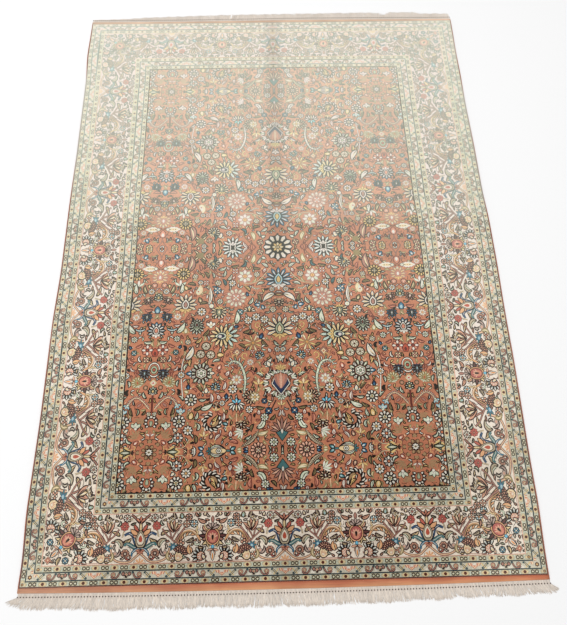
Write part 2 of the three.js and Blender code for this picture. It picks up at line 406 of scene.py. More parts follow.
def diamond_lily(r, t):
    """Pale diamond with a narrow leaf in it and a dark-edged crescent on both sides."""
    shapes = [([(0, r * 1.15), (r * 0.85, r * 0.1), (0, -r * 0.9), (-r * 0.85, r * 0.1)], t.petal)]
    for side in (-1, 1):
        one = blade(r * 1.25, r * 0.20, bend=side * 1.3, base=0.3)
        shapes += edged(turned(one, -side * 0.62, side * r * 0.12, -r * 0.62), "mint", t.edge)
    shapes += edged(turned(blade(r * 1.4, r * 0.50, base=0.2), 0, 0, -r * 0.6), t.second, t.edge)
    shapes.append((turned(blade(r * 0.9, r * 0.14, base=0.2, steps=3), 0, 0, -r * 0.35), t.heart))
    shapes += place(fan(3, 100, 0, r * 0.5, r * 0.20, t.cup, t.edge, 0.8), 0, -r * 0.7, 180)
    return shapes


def onion(r, t):
    """Almond of two pairs of curved petals round a warm middle with a ringed eye, on a small cup."""
    shapes = []
    for side in (-1, 1):
        for angle, reach in ((104, 0.8), (70, 0.9)):
            one = blade(r * reach, r * 0.17, bend=side * 1.2, base=0.4)
            shapes += edged(turned(one, -side * math.radians(angle), 0, -r * 0.6), t.second, t.edge,
                            FINE_RIM)
    shapes += edged(turned(blade(r * 1.66, r * 1.12, base=0.2), 0, 0, -r * 0.72), "dustgold", t.edge)
    for side in (-1, 1):
        for bend, wide, tone in ((2.1, 0.22, t.petal), (1.5, 0.13, t.heart)):
            one = blade(r * 1.75 - r * 0.1 * bend, r * wide, bend=-side * bend, base=0.3)
            shapes += edged(turned(one, 0, side * r * 0.03, -r * 0.72), tone, t.edge, 1.8)
    for k, tone in ((0.30, t.edge), (0.23, t.heart), (0.14, t.edge), (0.07, t.petal)):
        shapes.append((turned(disc(r * k, 8), 0, 0, r * 0.16), tone))
    shapes += place(fan(3, 120, 0, r * 0.46, r * 0.22, t.cup, t.edge, 1.4), 0, -r * 0.62, 180)
    shapes += edged(turned(blade(r * 0.44, r * 0.24, base=0.4, steps=3), 0, 0, r * 0.86), t.cup, t.edge,
                    1.4)
    return shapes


def double_leaf(r, t):
    """Curved leaf with a dark vein and a tinted lower half."""
    body = blade(r, r * 0.36, bend=1.3, belly=0.45, base=0.15)
    shapes = edged(body, t.petal, t.edge)
    shapes.append((blade(r * 0.84, max(1.4, r * 0.07), bend=1.1, base=0.7, steps=4), t.edge))
    return shapes


def crescent(r, t):
    """Strongly curled slim leaf with a thick dark outline."""
    return edged(blade(r * 1.25, r * 0.30, bend=2.3, belly=0.42, base=0.25), t.petal, t.edge)


def twin_leaf(r, t):
    """Two small curled leaves on one foot."""
    shapes = []
    for side, tone in ((-1, t.petal), (1, t.second)):
        one = blade(r, r * 0.36, bend=-side * 1.5, base=0.2)
        shapes += edged(turned(one, -side * 0.3), tone, t.edge, FINE_RIM)
    return shapes


def speck(r, t):
    """Bare leaflet of one tone."""
    return [(blade(r, r * 0.32, bend=0.6, base=0.3, steps=2), t.petal)]


def line_curl(r, t):
    """Thin curl of one pale tone, without an outline."""
    path = []
    for i in range(7):
        a = math.pi * 1.5 * i / 6
        k = r * (1 - 0.55 * i / 6) * 0.5
        path.append((k * math.sin(a), r * 0.5 - k * math.cos(a)))
    return [(ribbon(path, 1.9, 0.4, per=1), t.petal)]


def calyx(r, t):
    """Three short leaves under a flower."""
    return fan(3, 110, 0, r, r * 0.42, t.second, t.edge, rim=0.7)


def palmette(r, t):
    """Fan of petals behind a cup with a heart, on curling base leaves."""
    n = 7 if r < 18 else 9
    spread = 230
    cup_width = 0.62
    shapes = []
    for side in (-1, 1):
        one = blade(r * 0.75, r * 0.22, bend=-side * 1.6, base=0.3)
        shapes += edged(turned(one, -side * 1.35, 0, -r * 0.30), t.second, t.edge, FINE_RIM)
    shapes += fan(n, spread, r * 0.30, r * 0.98, r * 2.4 / n, t.petal, t.edge, RIM, middle=1.12)
    if r > 15:
        shapes += fan(n, spread, r * 0.42, r * 0.86, r * 0.8 / n, t.second)
    shapes += edged(turned(blade(r * 0.92, r * cup_width, belly=0.42, base=0.5), 0, 0, -r * 0.34), t.cup,
                    t.edge)
    inner = blade(r * 0.55, r * cup_width * 0.50, belly=0.42, base=0.4)
    shapes += edged(turned(inner, 0, 0, -r * 0.20), t.heart, t.edge, FINE_RIM if r > 15 else 1.0)
    shapes += place(calyx(r * 0.45, t), 0, -r * 0.36, 180)
    return shapes


def medallion(r, t):
    """Heart-shaped palmette: a ring of pale lobes round a flame over a dark point."""
    shapes = []
    for i in range(13):
        a = 2 * math.pi * (i + 0.5) / 13
        reach = r * (0.80 + 0.14 * math.cos(a + math.pi) - 0.10 * math.cos(2 * a))
        x, y = reach * math.sin(a), reach * math.cos(a)
        shapes.append((turned(oval(r * 0.42, r * 0.46, 9), -a, x, y), t.edge))
        for side in (-1, 0, 1):
            one = blade(r * 0.32, r * 0.105, bend=side * 0.7, belly=0.55, base=0.4, steps=3)
            one = turned(one, -side * 0.55, side * r * 0.07, -r * 0.15)
            shapes.append((turned(one, -a, x, y), t.petal if side else ("sage" if i % 2 else "mint")))
    shapes.append((turned(lobed(r * 0.62, 9, 0.10), 0, 0, -r * 0.02), t.edge))
    shapes.append((turned(lobed(r * 0.56, 9, 0.10), 0, 0, -r * 0.02), "dusk"))
    for k, tone in ((1.0, t.edge), (0.93, t.petal), (0.84, t.edge), (0.79, t.heart)):
        shapes.append(([(0, -r * 0.94 * k), (r * 0.60 * k, -r * 0.16 * k), (r * 0.44 * k, r * 0.20 * k),
                        (0, -r * 0.20 * k), (-r * 0.44 * k, r * 0.20 * k), (-r * 0.60 * k, -r * 0.16 * k)],
                        tone))
    flames = ((28, 0.86, t.second), (-28, 0.86, t.second), (14, 0.95, t.cup), (-14, 0.95, t.cup),
              (0, 1.05, "roselight"))
    for angle, length, tone in flames:
        one = blade(r * length, r * 0.20, base=0.4)
        shapes += edged(turned(one, math.radians(angle), 0, -r * 0.42), tone, "mauve", 0.9)
    shapes += place(fan(5, 120, 0, r * 0.42, r * 0.13, "gold", "olive", 1.0), 0, r * 0.70)
    shapes += place(fan(5, 130, 0, r * 0.36, r * 0.13, "mint", t.edge, 1.5), 0, -r * 0.86, 180)
    return shapes


def plume(r, t):
    """Feathery spray of slim petals over a small dark cup."""
    shapes = []
    for i in (0, 8, 1, 7, 2, 6, 3, 5, 4):
        a = math.radians(20 * (i - 4))
        one = blade(r * (1 - 0.07 * abs(i - 4)), r * 0.15, bend=-0.25 * (i - 4), belly=0.62, base=0.3)
        shapes += edged(turned(one, a), t.petal if i % 2 else t.second, t.edge, FINE_RIM)
    shapes += edged([(0, -r * 0.42), (r * 0.34, r * 0.06), (0, r * 0.20), (-r * 0.34, r * 0.06)], t.cup,
                    t.edge)
    shapes += edged(blade(r * 0.30, r * 0.16, base=0.3, steps=3), t.heart, t.edge, 1.0)
    return shapes


def lily(r, t):
    """Blue crown over five drooping pale petals."""
    shapes = []
    for side in (-1, 1):
        for angle, reach in ((108, 1.0), (136, 1.05), (163, 0.95)):
            one = blade(r * reach, r * 0.26, bend=side * 0.9, belly=0.55, base=0.3)
            shapes += edged(turned(one, -side * math.radians(angle)), t.petal, t.edge)
    shapes += edged(turned(blade(r * 0.9, r * 0.24, base=0.4), math.pi), t.cup, t.edge)
    shapes += fan(3, 96, r * 0.04, r * 0.66, r * 0.30, t.second, t.edge)
    shapes.append((turned(blade(r * 0.36, r * 0.12, base=0.4, steps=3), 0, 0, r * 0.08), "ice"))
    shapes += edged(disc(r * 0.13, 6), t.heart, t.edge, 1.2)
    return shapes


def wreath(r, t):
    """Ring of twisted leaves, open at one side, round a curled one."""
    whole = around(oval(r * 0.52, r * 0.62, 9), 10, r * 0.78, phase=0.5, whole=11.5)
    shapes = [(outline, t.edge) for outline in whole]
    for i in range(10):
        a = 2 * math.pi * (i + 0.5) / 11.5
        for out, long, tone in ((0.64, 0.44, t.petal), (0.90, 0.36, t.second if i % 2 else t.petal)):
            one = blade(r * long, r * 0.15, bend=1.0, base=0.3, steps=3)
            foot = (r * out * math.sin(a - 0.22), r * out * math.cos(a - 0.22))
            shapes.append((turned(one, -a - 1.1, *foot), tone))
    curled = blade(r * 1.15, r * 0.34, bend=1.5, belly=0.4, base=0.3)
    shapes += edged(turned(curled, 0.5, r * 0.05, -r * 0.46), t.cup, t.edge)
    vein = blade(r * 0.7, r * 0.14, bend=1.2, belly=0.4, base=0.4)
    shapes.append((turned(vein, 0.45, r * 0.04, -r * 0.30), t.heart))
    return shapes


def saz_curl(r, t):
    """Slim leaf whose tip curls over, with bars inside it and a row of barbs along its outer side."""
    spine = [(0, 0), (-r * 0.03, r * 0.20), (-r * 0.04, r * 0.42), (r * 0.02, r * 0.65),
             (r * 0.11, r * 0.78), (r * 0.25, r * 0.80), (r * 0.34, r * 0.70)]
    path = curve_through(spine, 4)
    last = len(path) - 1
    shapes = []
    for i in range(1, last, 2):
        x, y = path[i]
        heading = math.atan2(path[i + 1][0] - path[i - 1][0], path[i + 1][1] - path[i - 1][1])
        long = r * (0.07 + 0.08 * math.sin(math.pi * i / last))
        barb = blade(long, r * 0.036, bend=-0.5, belly=0.6, base=0.5, steps=3)
        barb = turned(barb, -heading + 1.0, x, y)
        shapes += edged(barb, t.cup if i % 4 == 1 else t.second, t.edge, 2.2)
        inner = turned(blade(long * 0.62, r * 0.030, base=0.5, steps=2), -heading - 1.0, x, y)
        shapes += edged(inner, t.second, t.edge, 2.0)
    for width, tone in ((0.072, t.edge), (0.042, t.petal)):
        left = []
        right = []
        for i, (x, y) in enumerate(path[:-1]):
            after_x, after_y = path[i + 1]
            length = math.hypot(after_x - x, after_y - y)
            half = r * width / 2 * (0.25 + 0.75 * math.sin(math.pi * (i / last) ** 0.8))
            nx = (after_y - y) / length * half
            ny = (after_x - x) / length * half
            left.append((x - nx, y + ny))
            right.append((x + nx, y - ny))
        shapes.append((left + [path[-1]] + right[::-1], tone))
    for i in range(3, last - 2, 2):
        heading = math.atan2(path[i + 1][0] - path[i][0], path[i + 1][1] - path[i][1])
        shapes.append((turned(blade(r * 0.034, r * 0.016, base=0.6, steps=2), -heading, *path[i]),
                       t.heart))
    return shapes


def aster(r, t):
    """Open flower of slim petals, each with its own fine outline."""
    shapes = []
    one = blade(r * 0.80, r * 0.24, bend=0.2, belly=0.62, base=0.3, steps=4)
    for i, outline in enumerate(around(one, 8, r * 0.20, phase=0.5)):
        shapes += edged(outline, t.second if i % 3 == 1 else t.petal, t.edge, 1.3)
    shapes += edged(disc(r * 0.17, 6), t.cup, t.heart, 1.2)
    return shapes


def spoked(r, t):
    """Round bud in a dark ring, with short pale petals standing round its middle."""
    shapes = [(disc(r + 1.6, 12), t.edge), (disc(r * 0.88, 12), t.petal)]
    petals = around(blade(r * 0.44, r * 0.26, belly=0.6, base=0.5, steps=2), 7, r * 0.34)
    bar = blade(r * 0.5, 1.3, base=0.8, steps=2)
    for i, one in enumerate(petals):
        shapes.append((one, t.second if i % 2 else t.cup))
        a = 2 * math.pi * i / 7 + math.pi / 7
        shapes.append((turned(bar, -a, r * 0.34 * math.sin(a), r * 0.34 * math.cos(a)), t.edge))
    shapes.append((disc(r * 0.24, 6), t.edge))
    shapes.append((disc(r * 0.12, 5), t.heart))
    return shapes


def jewel(r, t):
    """Round palmette: a ring of split petals about a six-sided frame with a speckled middle."""
    shapes = []
    short, long = [around(blade(r * share, r * 0.27, belly=0.62, base=0.5, steps=3), 14, r * 0.50,
                          phase=0.5)
                   for share in (0.40, 0.50)]
    veins = around(blade(r * 0.26, r * 0.08, belly=0.6, base=0.5, steps=2), 14, r * 0.60, phase=0.5)
    for i, vein in enumerate(veins):
        shapes += edged(long[i] if i % 2 else short[i], t.second if i % 2 else t.petal, t.edge, RIM)
        shapes.append((vein, t.petal if i % 2 else t.edge))
    for radius, tone in ((0.58, t.edge), (0.52, t.heart), (0.44, t.cup), (0.38, t.edge), (0.32, t.petal)):
        shapes.append((disc(r * radius, 6), tone))
    for i in range(6):
        a = math.pi * (i + 0.5) / 3
        shapes.append((turned(disc(r * 0.055, 5), 0, r * 0.25 * math.sin(a), r * 0.25 * math.cos(a)),
                       t.edge))
    shapes += edged(disc(r * 0.13, 6), t.second, t.edge, 1.6)
    return shapes


def tulip(r, t):
    """Three broad petals with two narrow ones in them."""
    shapes = fan(3, 90, r * 0.05, r, r * 0.52, t.petal, t.edge)
    shapes += fan(2, 40, r * 0.1, r * 0.62, r * 0.18, t.second)
    shapes += edged(disc(r * 0.22), t.cup, t.edge, 0.6)
    return shapes


def bud(r, t):
    """Closed bud between two small leaves."""
    shapes = fan(2, 130, 0, r * 0.85, r * 0.34, t.cup, t.edge, rim=0.7)
    shapes += edged(blade(r * 1.15, r * 0.78, belly=0.42, base=0.5, steps=3), t.petal, t.edge)
    shapes.append((turned(blade(r * 0.6, r * 0.34, belly=0.45, base=0.4, steps=2), 0, 0, r * 0.12),
                   t.second))
    return shapes


def leaf(r, t, bend=0.9, width=0.36):
    """Curved leaf, with a vein and a lighter half where it is large enough."""
    body = blade(r, r * width, bend=bend, belly=0.4, base=0.1)
    shapes = edged(body, t.petal, t.edge)
    if r > 13:
        vein = blade(r * 0.82, max(1.3, r * width * 0.16), bend=bend * 0.82, belly=0.4, base=0.5, steps=3)
        shapes.append((vein, t.edge))
    if r > 26:
        shade = blade(r * 0.7, r * width * 0.22, bend=bend * 0.7, base=0.2, steps=3)
        shapes.append((turned(shade, 0.10, 0.5, r * 0.12), t.second))
    return shapes


def hook(r, t):
    """Leaf that curls over strongly."""
    return leaf(r, t, bend=2.5, width=0.32)


def saz(r, t):
    """Long leaf with a dark serrated edge, a pale spine and bars across it."""
    bend = 0.8
    steps = max(10, round(r / 7))
    shapes = [(blade(r, r * 0.21, bend=bend, belly=0.45, base=0.15, steps=steps, teeth=0.16), t.edge)]
    shapes.append((blade(r * 0.97, r * 0.135, bend=bend * 0.97, belly=0.45, base=0.15), t.petal))
    spine = blade(r * 0.90, 0.02, bend=bend * 0.90, steps=12)
    for i in range(1, 12):
        x, y = spine[i]
        heading = bend * 0.90 * (i / 12 - 0.5)
        for side in (-1, 1):
            barb = blade(r * 0.055, 1.9, steps=2)
            at = (x + side * math.cos(heading) * 0.8, y - side * math.sin(heading) * 0.8)
            shapes.append((turned(barb, -heading - side * 0.9, *at), t.cup if i % 2 else t.second))
    shapes.append((blade(r * 0.86, 1.6, bend=bend * 0.86, base=0.8, steps=7), t.edge))
    return shapes


def comb(r, t, n=6, bend=1.6):
    """Curved rib with short lobes along its outer side."""
    shapes = []
    heading = -bend / 2
    x = y = 0.0
    step = r / n
    for i in range(n):
        lobe = blade(step * (1.5 - abs(i - n / 2) / n), step * 0.86, belly=0.55, base=0.5, steps=2)
        tone = t.petal if i % 2 else t.second
        shapes += edged(turned(lobe, -heading + math.pi * 0.6, x, y), tone, t.edge, 0.6)
        x += math.sin(heading) * step
        y += math.cos(heading) * step
        heading += bend / n
    shapes += edged(blade(r, r * 0.09, bend=bend, base=0.7), t.cup, t.edge, 0.5)
    return shapes


def bead(r, t):
    """Round bead of rings, with dots in it where it is large enough."""
    shapes = [(disc(r + 1.0), t.edge), (disc(r * 0.9), t.petal), (disc(r * 0.7), t.cup)]
    if r > 6:
        for i in range(6):
            a = 2 * math.pi * i / 6
            dot = turned(disc(r * 0.15, 5), 0, r * 0.46 * math.sin(a), r * 0.46 * math.cos(a))
            shapes.append((dot, t.second if i % 2 else t.petal))
    shapes.append((disc(r * 0.22, 5), t.heart))
    return shapes


def smile(r, t):
    """Crescent with teeth inside and a small bud below."""
    arc = []
    for i in range(7):
        a = math.pi * (0.08 + 0.84 * i / 6)
        arc.append((-r * math.cos(a), -r * 0.75 * math.sin(a)))
    shapes = edged(arc + [(0.86 * x, 0.52 * y + r * 0.02) for x, y in arc[::-1]], t.petal, t.edge)
    for x, y in arc[1:-1]:
        shapes.append((turned(oval(r * 0.12, r * 0.3, 5), math.atan2(x, -y), x * 0.9, y * 0.78), t.second))
    shapes += place(bud(r * 0.55, t._replace(petal=t.cup, cup=t.petal)), 0, -r * 0.78, 180)
    return shapes


def lozenge(r, t):
    """Diamonds, one inside the other."""
    rings = ((1.0, t.edge), (0.86, t.petal), (0.62, t.edge), (0.52, t.second), (0.26, t.heart))
    return [([(0, r * k), (r * k * 0.9, 0), (0, -r * k), (-r * k * 0.9, 0)], tone) for k, tone in rings]


def star(r, t):
    """Soft four-pointed star with shadow rays."""
    shapes = []
    for i in range(4):
        a = math.pi / 4 + i * math.pi / 2
        shapes.append((turned(blade(r, r * 0.30, belly=0.3, base=0.8, steps=4), a), t.edge))
        shapes.append((turned(blade(r * 0.75, r * 0.14, belly=0.3, base=0.8, steps=3), a), t.second))
    shapes.append((turned(lobed(r * 0.40, 4, 0.3, 3), math.pi / 4), t.petal))
    return shapes


def sprig(r, t):
    """Three small leaves on a short stalk."""
    shapes = [(ribbon([(0, -r * 0.5), (0, 0)], r * 0.14, per=1), t.edge)]
    for angle, tone in ((52, t.petal), (-52, t.petal), (0, t.second)):
        one = blade(r, r * 0.38, bend=math.radians(angle) * 0.5, base=0.2)
        shapes += edged(turned(one, math.radians(angle)), tone, t.edge, 0.7)
    return shapes


def curl(r, t):
    """Outlined tendril that curls in."""
    path = []
    for i in range(8):
        a = math.pi * 1.7 * i / 7
        k = r * (1 - 0.62 * i / 7) * 0.5
        path.append((k * math.sin(a), r * 0.5 - k * math.cos(a)))
    return edged_ribbon(path, r * 0.15, t.petal, t.edge, rim=0.8, taper=0.4, per=1)


def paisley(r, t):
    """Bent drop with a smaller one inside."""
    body = blade(r * 1.5, r * 0.8, bend=1.3, belly=0.35, base=0.5)
    inner = blade(r, r * 0.42, bend=0.9, belly=0.35, base=0.5)
    dot = turned(disc(r * 0.12, 5), 0, -r * 0.12, r * 0.4)
    return edged(body, t.petal, t.edge, 0.8) + [(turned(inner, 0, r * 0.02, r * 0.12), t.second),
                                                (dot, t.heart)]


def spray(r, t):
    """Arch of pale beads over a small dusky almond and a curl. Its foot stands on the mirror line."""
    arch = [(r * 0.18, r * 0.06), (r * 0.50, r * 0.46), (r * 0.92, r * 0.78), (r * 1.28, r * 0.64),
            (r * 1.46, r * 0.34)]
    shapes = edged(turned(oval(r * 0.40, r * 0.60), math.radians(50), r * 0.78, r * 0.30), t.second,
                   t.edge, 1.4)
    shapes += edged(turned(oval(r * 0.16, r * 0.34), math.radians(50), r * 0.78, r * 0.32), "mauve",
                    t.edge, 1.3)
    shapes += place(crescent(r * 0.42, t._replace(petal=t.cup, edge="dark")), r * 0.92, -r * 0.30, -20)
    shapes += place(leaf(r * 0.36, SETS["brown"]), r * 0.60, -r * 0.28, 30)
    path = curve_through(arch, 4)
    for i in range(1, len(path) - 1):
        x, y = path[i]
        heading = math.atan2(path[i + 1][0] - path[i - 1][0], path[i + 1][1] - path[i - 1][1])
        for side in (-1, 1):
            hair = blade(r * 0.17 if side < 0 else r * 0.12, r * 0.055, base=0.5, steps=2)
            shapes += edged(turned(hair, -heading - side * 0.9, x, y), t.petal, t.edge, 1.7)
    shapes.append((ribbon(arch, r * 0.10, 0.3, per=4), t.edge))
    shapes.append((ribbon(arch, r * 0.05, 0.3, per=4), "cream"))
    shapes += place(tulip(r * 0.30, SETS["sky"]), r * 1.48, r * 0.34, -150)
    return shapes


def split_oval(r, t):
    """Upright almond of rings round a dark eye."""
    rings = ((1.06, t.edge), (0.94, t.petal), (0.80, t.edge), (0.72, t.cup), (0.56, t.edge),
             (0.48, t.second), (0.26, t.edge), (0.15, t.heart))
    return [(oval(r * 1.2 * k, r * 1.7 * k), tone) for k, tone in rings]


def lotus(r, t):
    """Broad lotus, with curved petals to both sides of a cup."""
    shapes = []
    for side in (-1, 1):
        for angle, reach, tone, rib in ((98, 1.0, t.petal, t.second), (66, 0.98, t.second, t.petal),
                                        (38, 0.9, t.petal, t.second)):
            lean = -side * math.radians(angle)
            one = blade(r * reach, r * 0.34, bend=side * 0.9, base=0.3)
            shapes += edged(turned(one, lean), tone, t.edge)
            vein = blade(r * reach * 0.7, r * 0.10, bend=side * 0.7, base=0.3, steps=3)
            shapes.append((turned(vein, lean), rib))
    shapes += edged(blade(r * 0.95, r * 0.5, base=0.5), t.cup, t.edge)
    shapes += edged(blade(r * 0.6, r * 0.26, base=0.5), t.heart, t.edge, 0.6)
    return shapes


def horseshoe(r, t):
    """Open ring of petals round an oval and a hanging drop."""
    shapes = fan(9, 270, r * 0.5, r, r * 0.34, t.petal, t.edge)
    shapes += edged(oval(r * 0.95, r * 1.2), t.second, t.edge, FINE_RIM)
    shapes += edged(turned(blade(r * 0.8, r * 0.34, belly=0.3, base=0.6), math.pi, 0, r * 0.2), t.cup,
                    t.edge, 1.4)
    return shapes


def scroll_leaf(r, t):
    """Feathered leaf with a row of dots and a bead at its foot."""
    shapes = edged(blade(r * 1.4, r * 0.62, belly=0.45, base=0.4, steps=10, teeth=0.14), t.petal, t.edge,
                   0.8)
    shapes.append((turned(blade(r * 1.05, r * 0.30, belly=0.45, base=0.4), 0, 0, r * 0.14), t.second))
    for i, tone in enumerate((t.edge, "brick", t.edge)):
        shapes.append((turned(oval(r * 0.09, r * 0.16, 5), 0, 0, r * (0.35 + 0.24 * i)), tone))
    shapes += place(bead(r * 0.17, t), 0, r * 0.06)
    return shapes


def fan_stems(r, t):
    """Thin stalks that spread from one foot."""
    shapes = []
    for end, lean in ((-0.75, -0.5), (-0.3, -0.2), (0.05, 0.0), (0.4, 0.3), (0.85, 0.55)):
        line = [(0, 0), (lean * r * 0.4, r * 0.4), (end * r, r * (1.05 - 0.5 * abs(end)))]
        shapes.append((ribbon(line, 1.8, 0.3), t.petal if abs(end) > 0.2 else t.second))
    return shapes


def palm(r, t):
    """Fan of five leaves in two tones."""
    shapes = []
    for i in range(5):
        one = blade(r * (1 - 0.1 * abs(i - 2)), r * 0.22, bend=0.2, belly=0.6, base=0.5)
        shapes += edged(turned(one, math.radians(25 * i - 50)), t.petal if i % 2 else t.second, t.edge,
                        0.7)
    return shapes


def carnation(r, t):
    """Round flower with a toothed rim and fine notches."""
    shapes = [(lobed(r + 0.9, 8, 0.16, 3), t.edge), (lobed(r, 8, 0.16, 3), t.petal)]
    for i, notch in enumerate(around(oval(r * 0.12, r * 0.46, 5), 16, r * 0.66)):
        shapes.append((notch, t.edge if i % 2 else t.second))
    shapes += edged(disc(r * 0.22), t.heart, t.edge, 1.6)
    return shapes


def parrot(r, t):
    """Striped, fringed tulip on a forked stalk."""
    shapes = []
    for side, spread in ((-1, 0.30), (1, 0.38)):
        stalk = [(side * 0.5, -r * 0.52), (side * r * 0.10, -r * 0.25), (side * r * 0.22, 0),
                 (side * r * spread, r * 0.2)]
        shapes += edged_ribbon(stalk, 2.2, t.cup, t.edge, rim=1.0)
    for i, angle in enumerate((-44, -22, -3, 16, 36)):
        lean = math.radians(angle)
        one = blade(r * (0.66 if i % 2 else 0.74), r * 0.19, bend=0.35, belly=0.55, base=0.4)
        shapes += edged(turned(one, lean, 0, -r * 0.08), t.heart if i % 2 else t.petal, t.edge, FINE_RIM)
        vein = blade(r * 0.52, r * 0.06, bend=0.3, belly=0.55, base=0.4, steps=4)
        shapes.append((turned(vein, lean, 0, -r * 0.05), t.second if i % 2 else t.edge))
    wing = comb(r * 0.5, t._replace(petal=t.heart, cup="olive"), n=5, bend=1.0)
    shapes += place(wing, -r * 0.30, r * 0.42, -60)
    return shapes


def puff(r, t):
    """Small cloud of five lobes."""
    return [(lobed(r * 1.1, 5, 0.18, 3), t.edge), (lobed(r * 0.9, 5, 0.18, 3), t.petal),
            (disc(r * 0.4), t.second)]


def bird(r, t):
    """Round tuft of six petals, dark at its middle."""
    shapes = fan(6, 250, 0, r * 1.15, r * 0.42, t.petal, t.edge, rim=0.8)
    shapes += edged(disc(r * 0.5), t.cup, t.edge, 0.4)
    shapes.append((disc(r * 0.3), t.second))
    return shapes


def cluster(r, t):
    """Seven small rings, six of them round the first."""
    shapes = []
    for i in range(7):
        a = 2 * math.pi * i / 6
        k = 0 if i == 6 else r * 0.62
        shapes += place([(disc(r * 0.42, 7), t.edge), (disc(r * 0.24, 6), t.petal if i % 2 else t.second)],
                        k * math.sin(a), k * math.cos(a))
    return shapes


def crown(r, t):
    """Pear-shaped pale body with three rows of scales standing over it."""
    shapes = []
    for reach, n, tone in ((1.05, 9, t.petal), (0.78, 7, "dustrose"), (0.50, 4, t.petal)):
        for i in range(n):
            a = math.radians(150) * (i / (n - 1) - 0.5)
            lobe = turned(oval(r * 0.34, r * 0.40, 7), -a, r * reach * math.sin(a),
                          r * 0.25 + r * reach * math.cos(a))
            shapes += edged(lobe, tone, t.edge, FINE_RIM)
    body = [(-r * 0.62, r * 0.34), (-r * 0.30, r * 0.20), (0, r * 0.42), (r * 0.30, r * 0.20),
            (r * 0.62, r * 0.34), (r * 0.74, -r * 0.30), (r * 0.44, -r * 0.86), (0, -r * 1.05),
            (-r * 0.44, -r * 0.86), (-r * 0.74, -r * 0.30)]
    shapes += edged(body, t.cup, t.edge, RIM)
    shapes += place(fan(5, 70, 0, r * 1.0, r * 0.09, "dustbrick"), 0, -r * 0.80)
    shapes += place(fan(3, 60, 0, r * 0.5, r * 0.16, t.second), 0, -r * 0.70)
    return shapes


def horn(r, t):
    """Tulip with two lips curling apart."""
    shapes = []
    for side, reach in ((-1, 0.78), (1, 1.0)):
        lip = blade(r * reach, r * 0.34, bend=side * 1.5, belly=0.4, base=0.5)
        shapes += edged(turned(lip, -side * 0.25), t.petal, t.edge, FINE_RIM)
        vein = blade(r * 0.66 * reach, r * 0.10, bend=side * 1.2, belly=0.4, base=0.5, steps=4)
        shapes.append((turned(vein, -side * 0.25, side * r * 0.02), t.second))
    return shapes


def scallop(r, t):
    """Fan of white petals over a pale heart with fine lines."""
    shapes = fan(7, 170, r * 0.42, r, r * 0.27, t.petal, t.edge, RIM)
    for i in range(7):
        a = math.radians(85) * (i / 3 - 1)
        dot = turned(oval(r * 0.08, r * 0.20, 5), -a, r * 0.68 * math.sin(a), r * 0.68 * math.cos(a))
        shapes.append((dot, t.second))
    shapes += edged(turned(lobed(r * 0.46, 6, 0.12, 2), 0, 0, r * 0.05), t.heart, t.edge)
    shapes += fan(5, 150, 0, r * 0.44, r * 0.09, "palecream")
    shapes += place(fan(4, 120, 0, r * 0.38, r * 0.06, t.cup), 0, r * 0.02)
    return shapes


def saz_arc(r, t):
    """Arched leaf in brown stripes with a curled tip and teeth on its inner side."""
    spine = [(0, 0), (r * 0.14, r * 0.24), (r * 0.34, r * 0.40), (r * 0.58, r * 0.42),
             (r * 0.80, r * 0.26), (r * 0.92, r * 0.02)]
    shapes = []
    for i in range(5):
        share = 0.32 + 0.13 * i
        at = (r * 0.92 * share, r * (0.38 - 0.9 * (share - 0.55) ** 2))
        tooth = blade(r * 0.24, r * 0.10, bend=-0.5, steps=3)
        shapes += edged(turned(tooth, math.radians(172 - 16 * i), *at), t.second if i % 2 else t.petal,
                        t.edge, FINE_RIM)
    shapes += edged_ribbon(spine, r * 0.13, t.petal, t.edge, rim=1.8, taper=0.5)
    upper = [(x - r * 0.015, y + r * 0.028) for x, y in spine[:5]]
    lower = [(x + r * 0.015, y - r * 0.028) for x, y in spine[:5]]
    shapes += [(ribbon(upper, r * 0.035, 0.5), t.second), (ribbon(lower, r * 0.035, 0.5), t.heart)]
    curl_in = [(r * 0.90, r * 0.04), (r * 0.86, -r * 0.08), (r * 0.74, -r * 0.08), (r * 0.72, r * 0.03)]
    shapes += edged_ribbon(curl_in, r * 0.06, t.cup, t.edge, rim=1.5, taper=0.3)
    return shapes


def zigzag(r, t):
    """Short stalk that bends from side to side."""
    path = [(0, 0), (r * 0.16, r * 0.25), (-r * 0.10, r * 0.5), (r * 0.12, r * 0.75), (0, r)]
    return edged_ribbon(path, r * 0.16, t.second, t.edge, rim=1.2, taper=0.2, per=2)


def tendril(r, t):
    """Thin curved stalk."""
    line = [(0, 0), (r * 0.14, r * 0.35), (r * 0.08, r * 0.7), (-r * 0.12, r)]
    return [(ribbon(line, 1.5, 0.4, per=1), t.edge)]


def cartouche(_, t):
    """Low ring from one lotus foot out to the side, and its arch above. It has only one size."""
    low = [(0, -34), (12, -44), (24, -53), (44, -54), (62, -47), (70, -30), (72, -14)]
    high = [(0, 56), (14, 50), (30, 38), (40, 18), (44, 2)]
    shapes = edged_ribbon(low, 3.4, t.petal, t.edge, rim=1.2)
    shapes.append((ribbon(low, 1.0), t.second))
    shapes += edged_ribbon(high, 1.6, t.second, t.edge, rim=0.9)
    return shapes


def border_stems(_, t):
    """The stalks of the main border that join its larger motifs. They have only one size."""
    shapes = edged_ribbon([(86, -14), (92, 2), (102, 16), (110, 26)], 3.0, t.cup, t.edge, rim=1.0)
    shapes += edged_ribbon([(84, -12), (74, -2), (62, 8), (52, 22)], 2.4, t.cup, t.edge, rim=1.0)
    shapes.append((ribbon([(96, -54), (125, -55), (150, -53)], 1.4), t.cup))
    return shapes


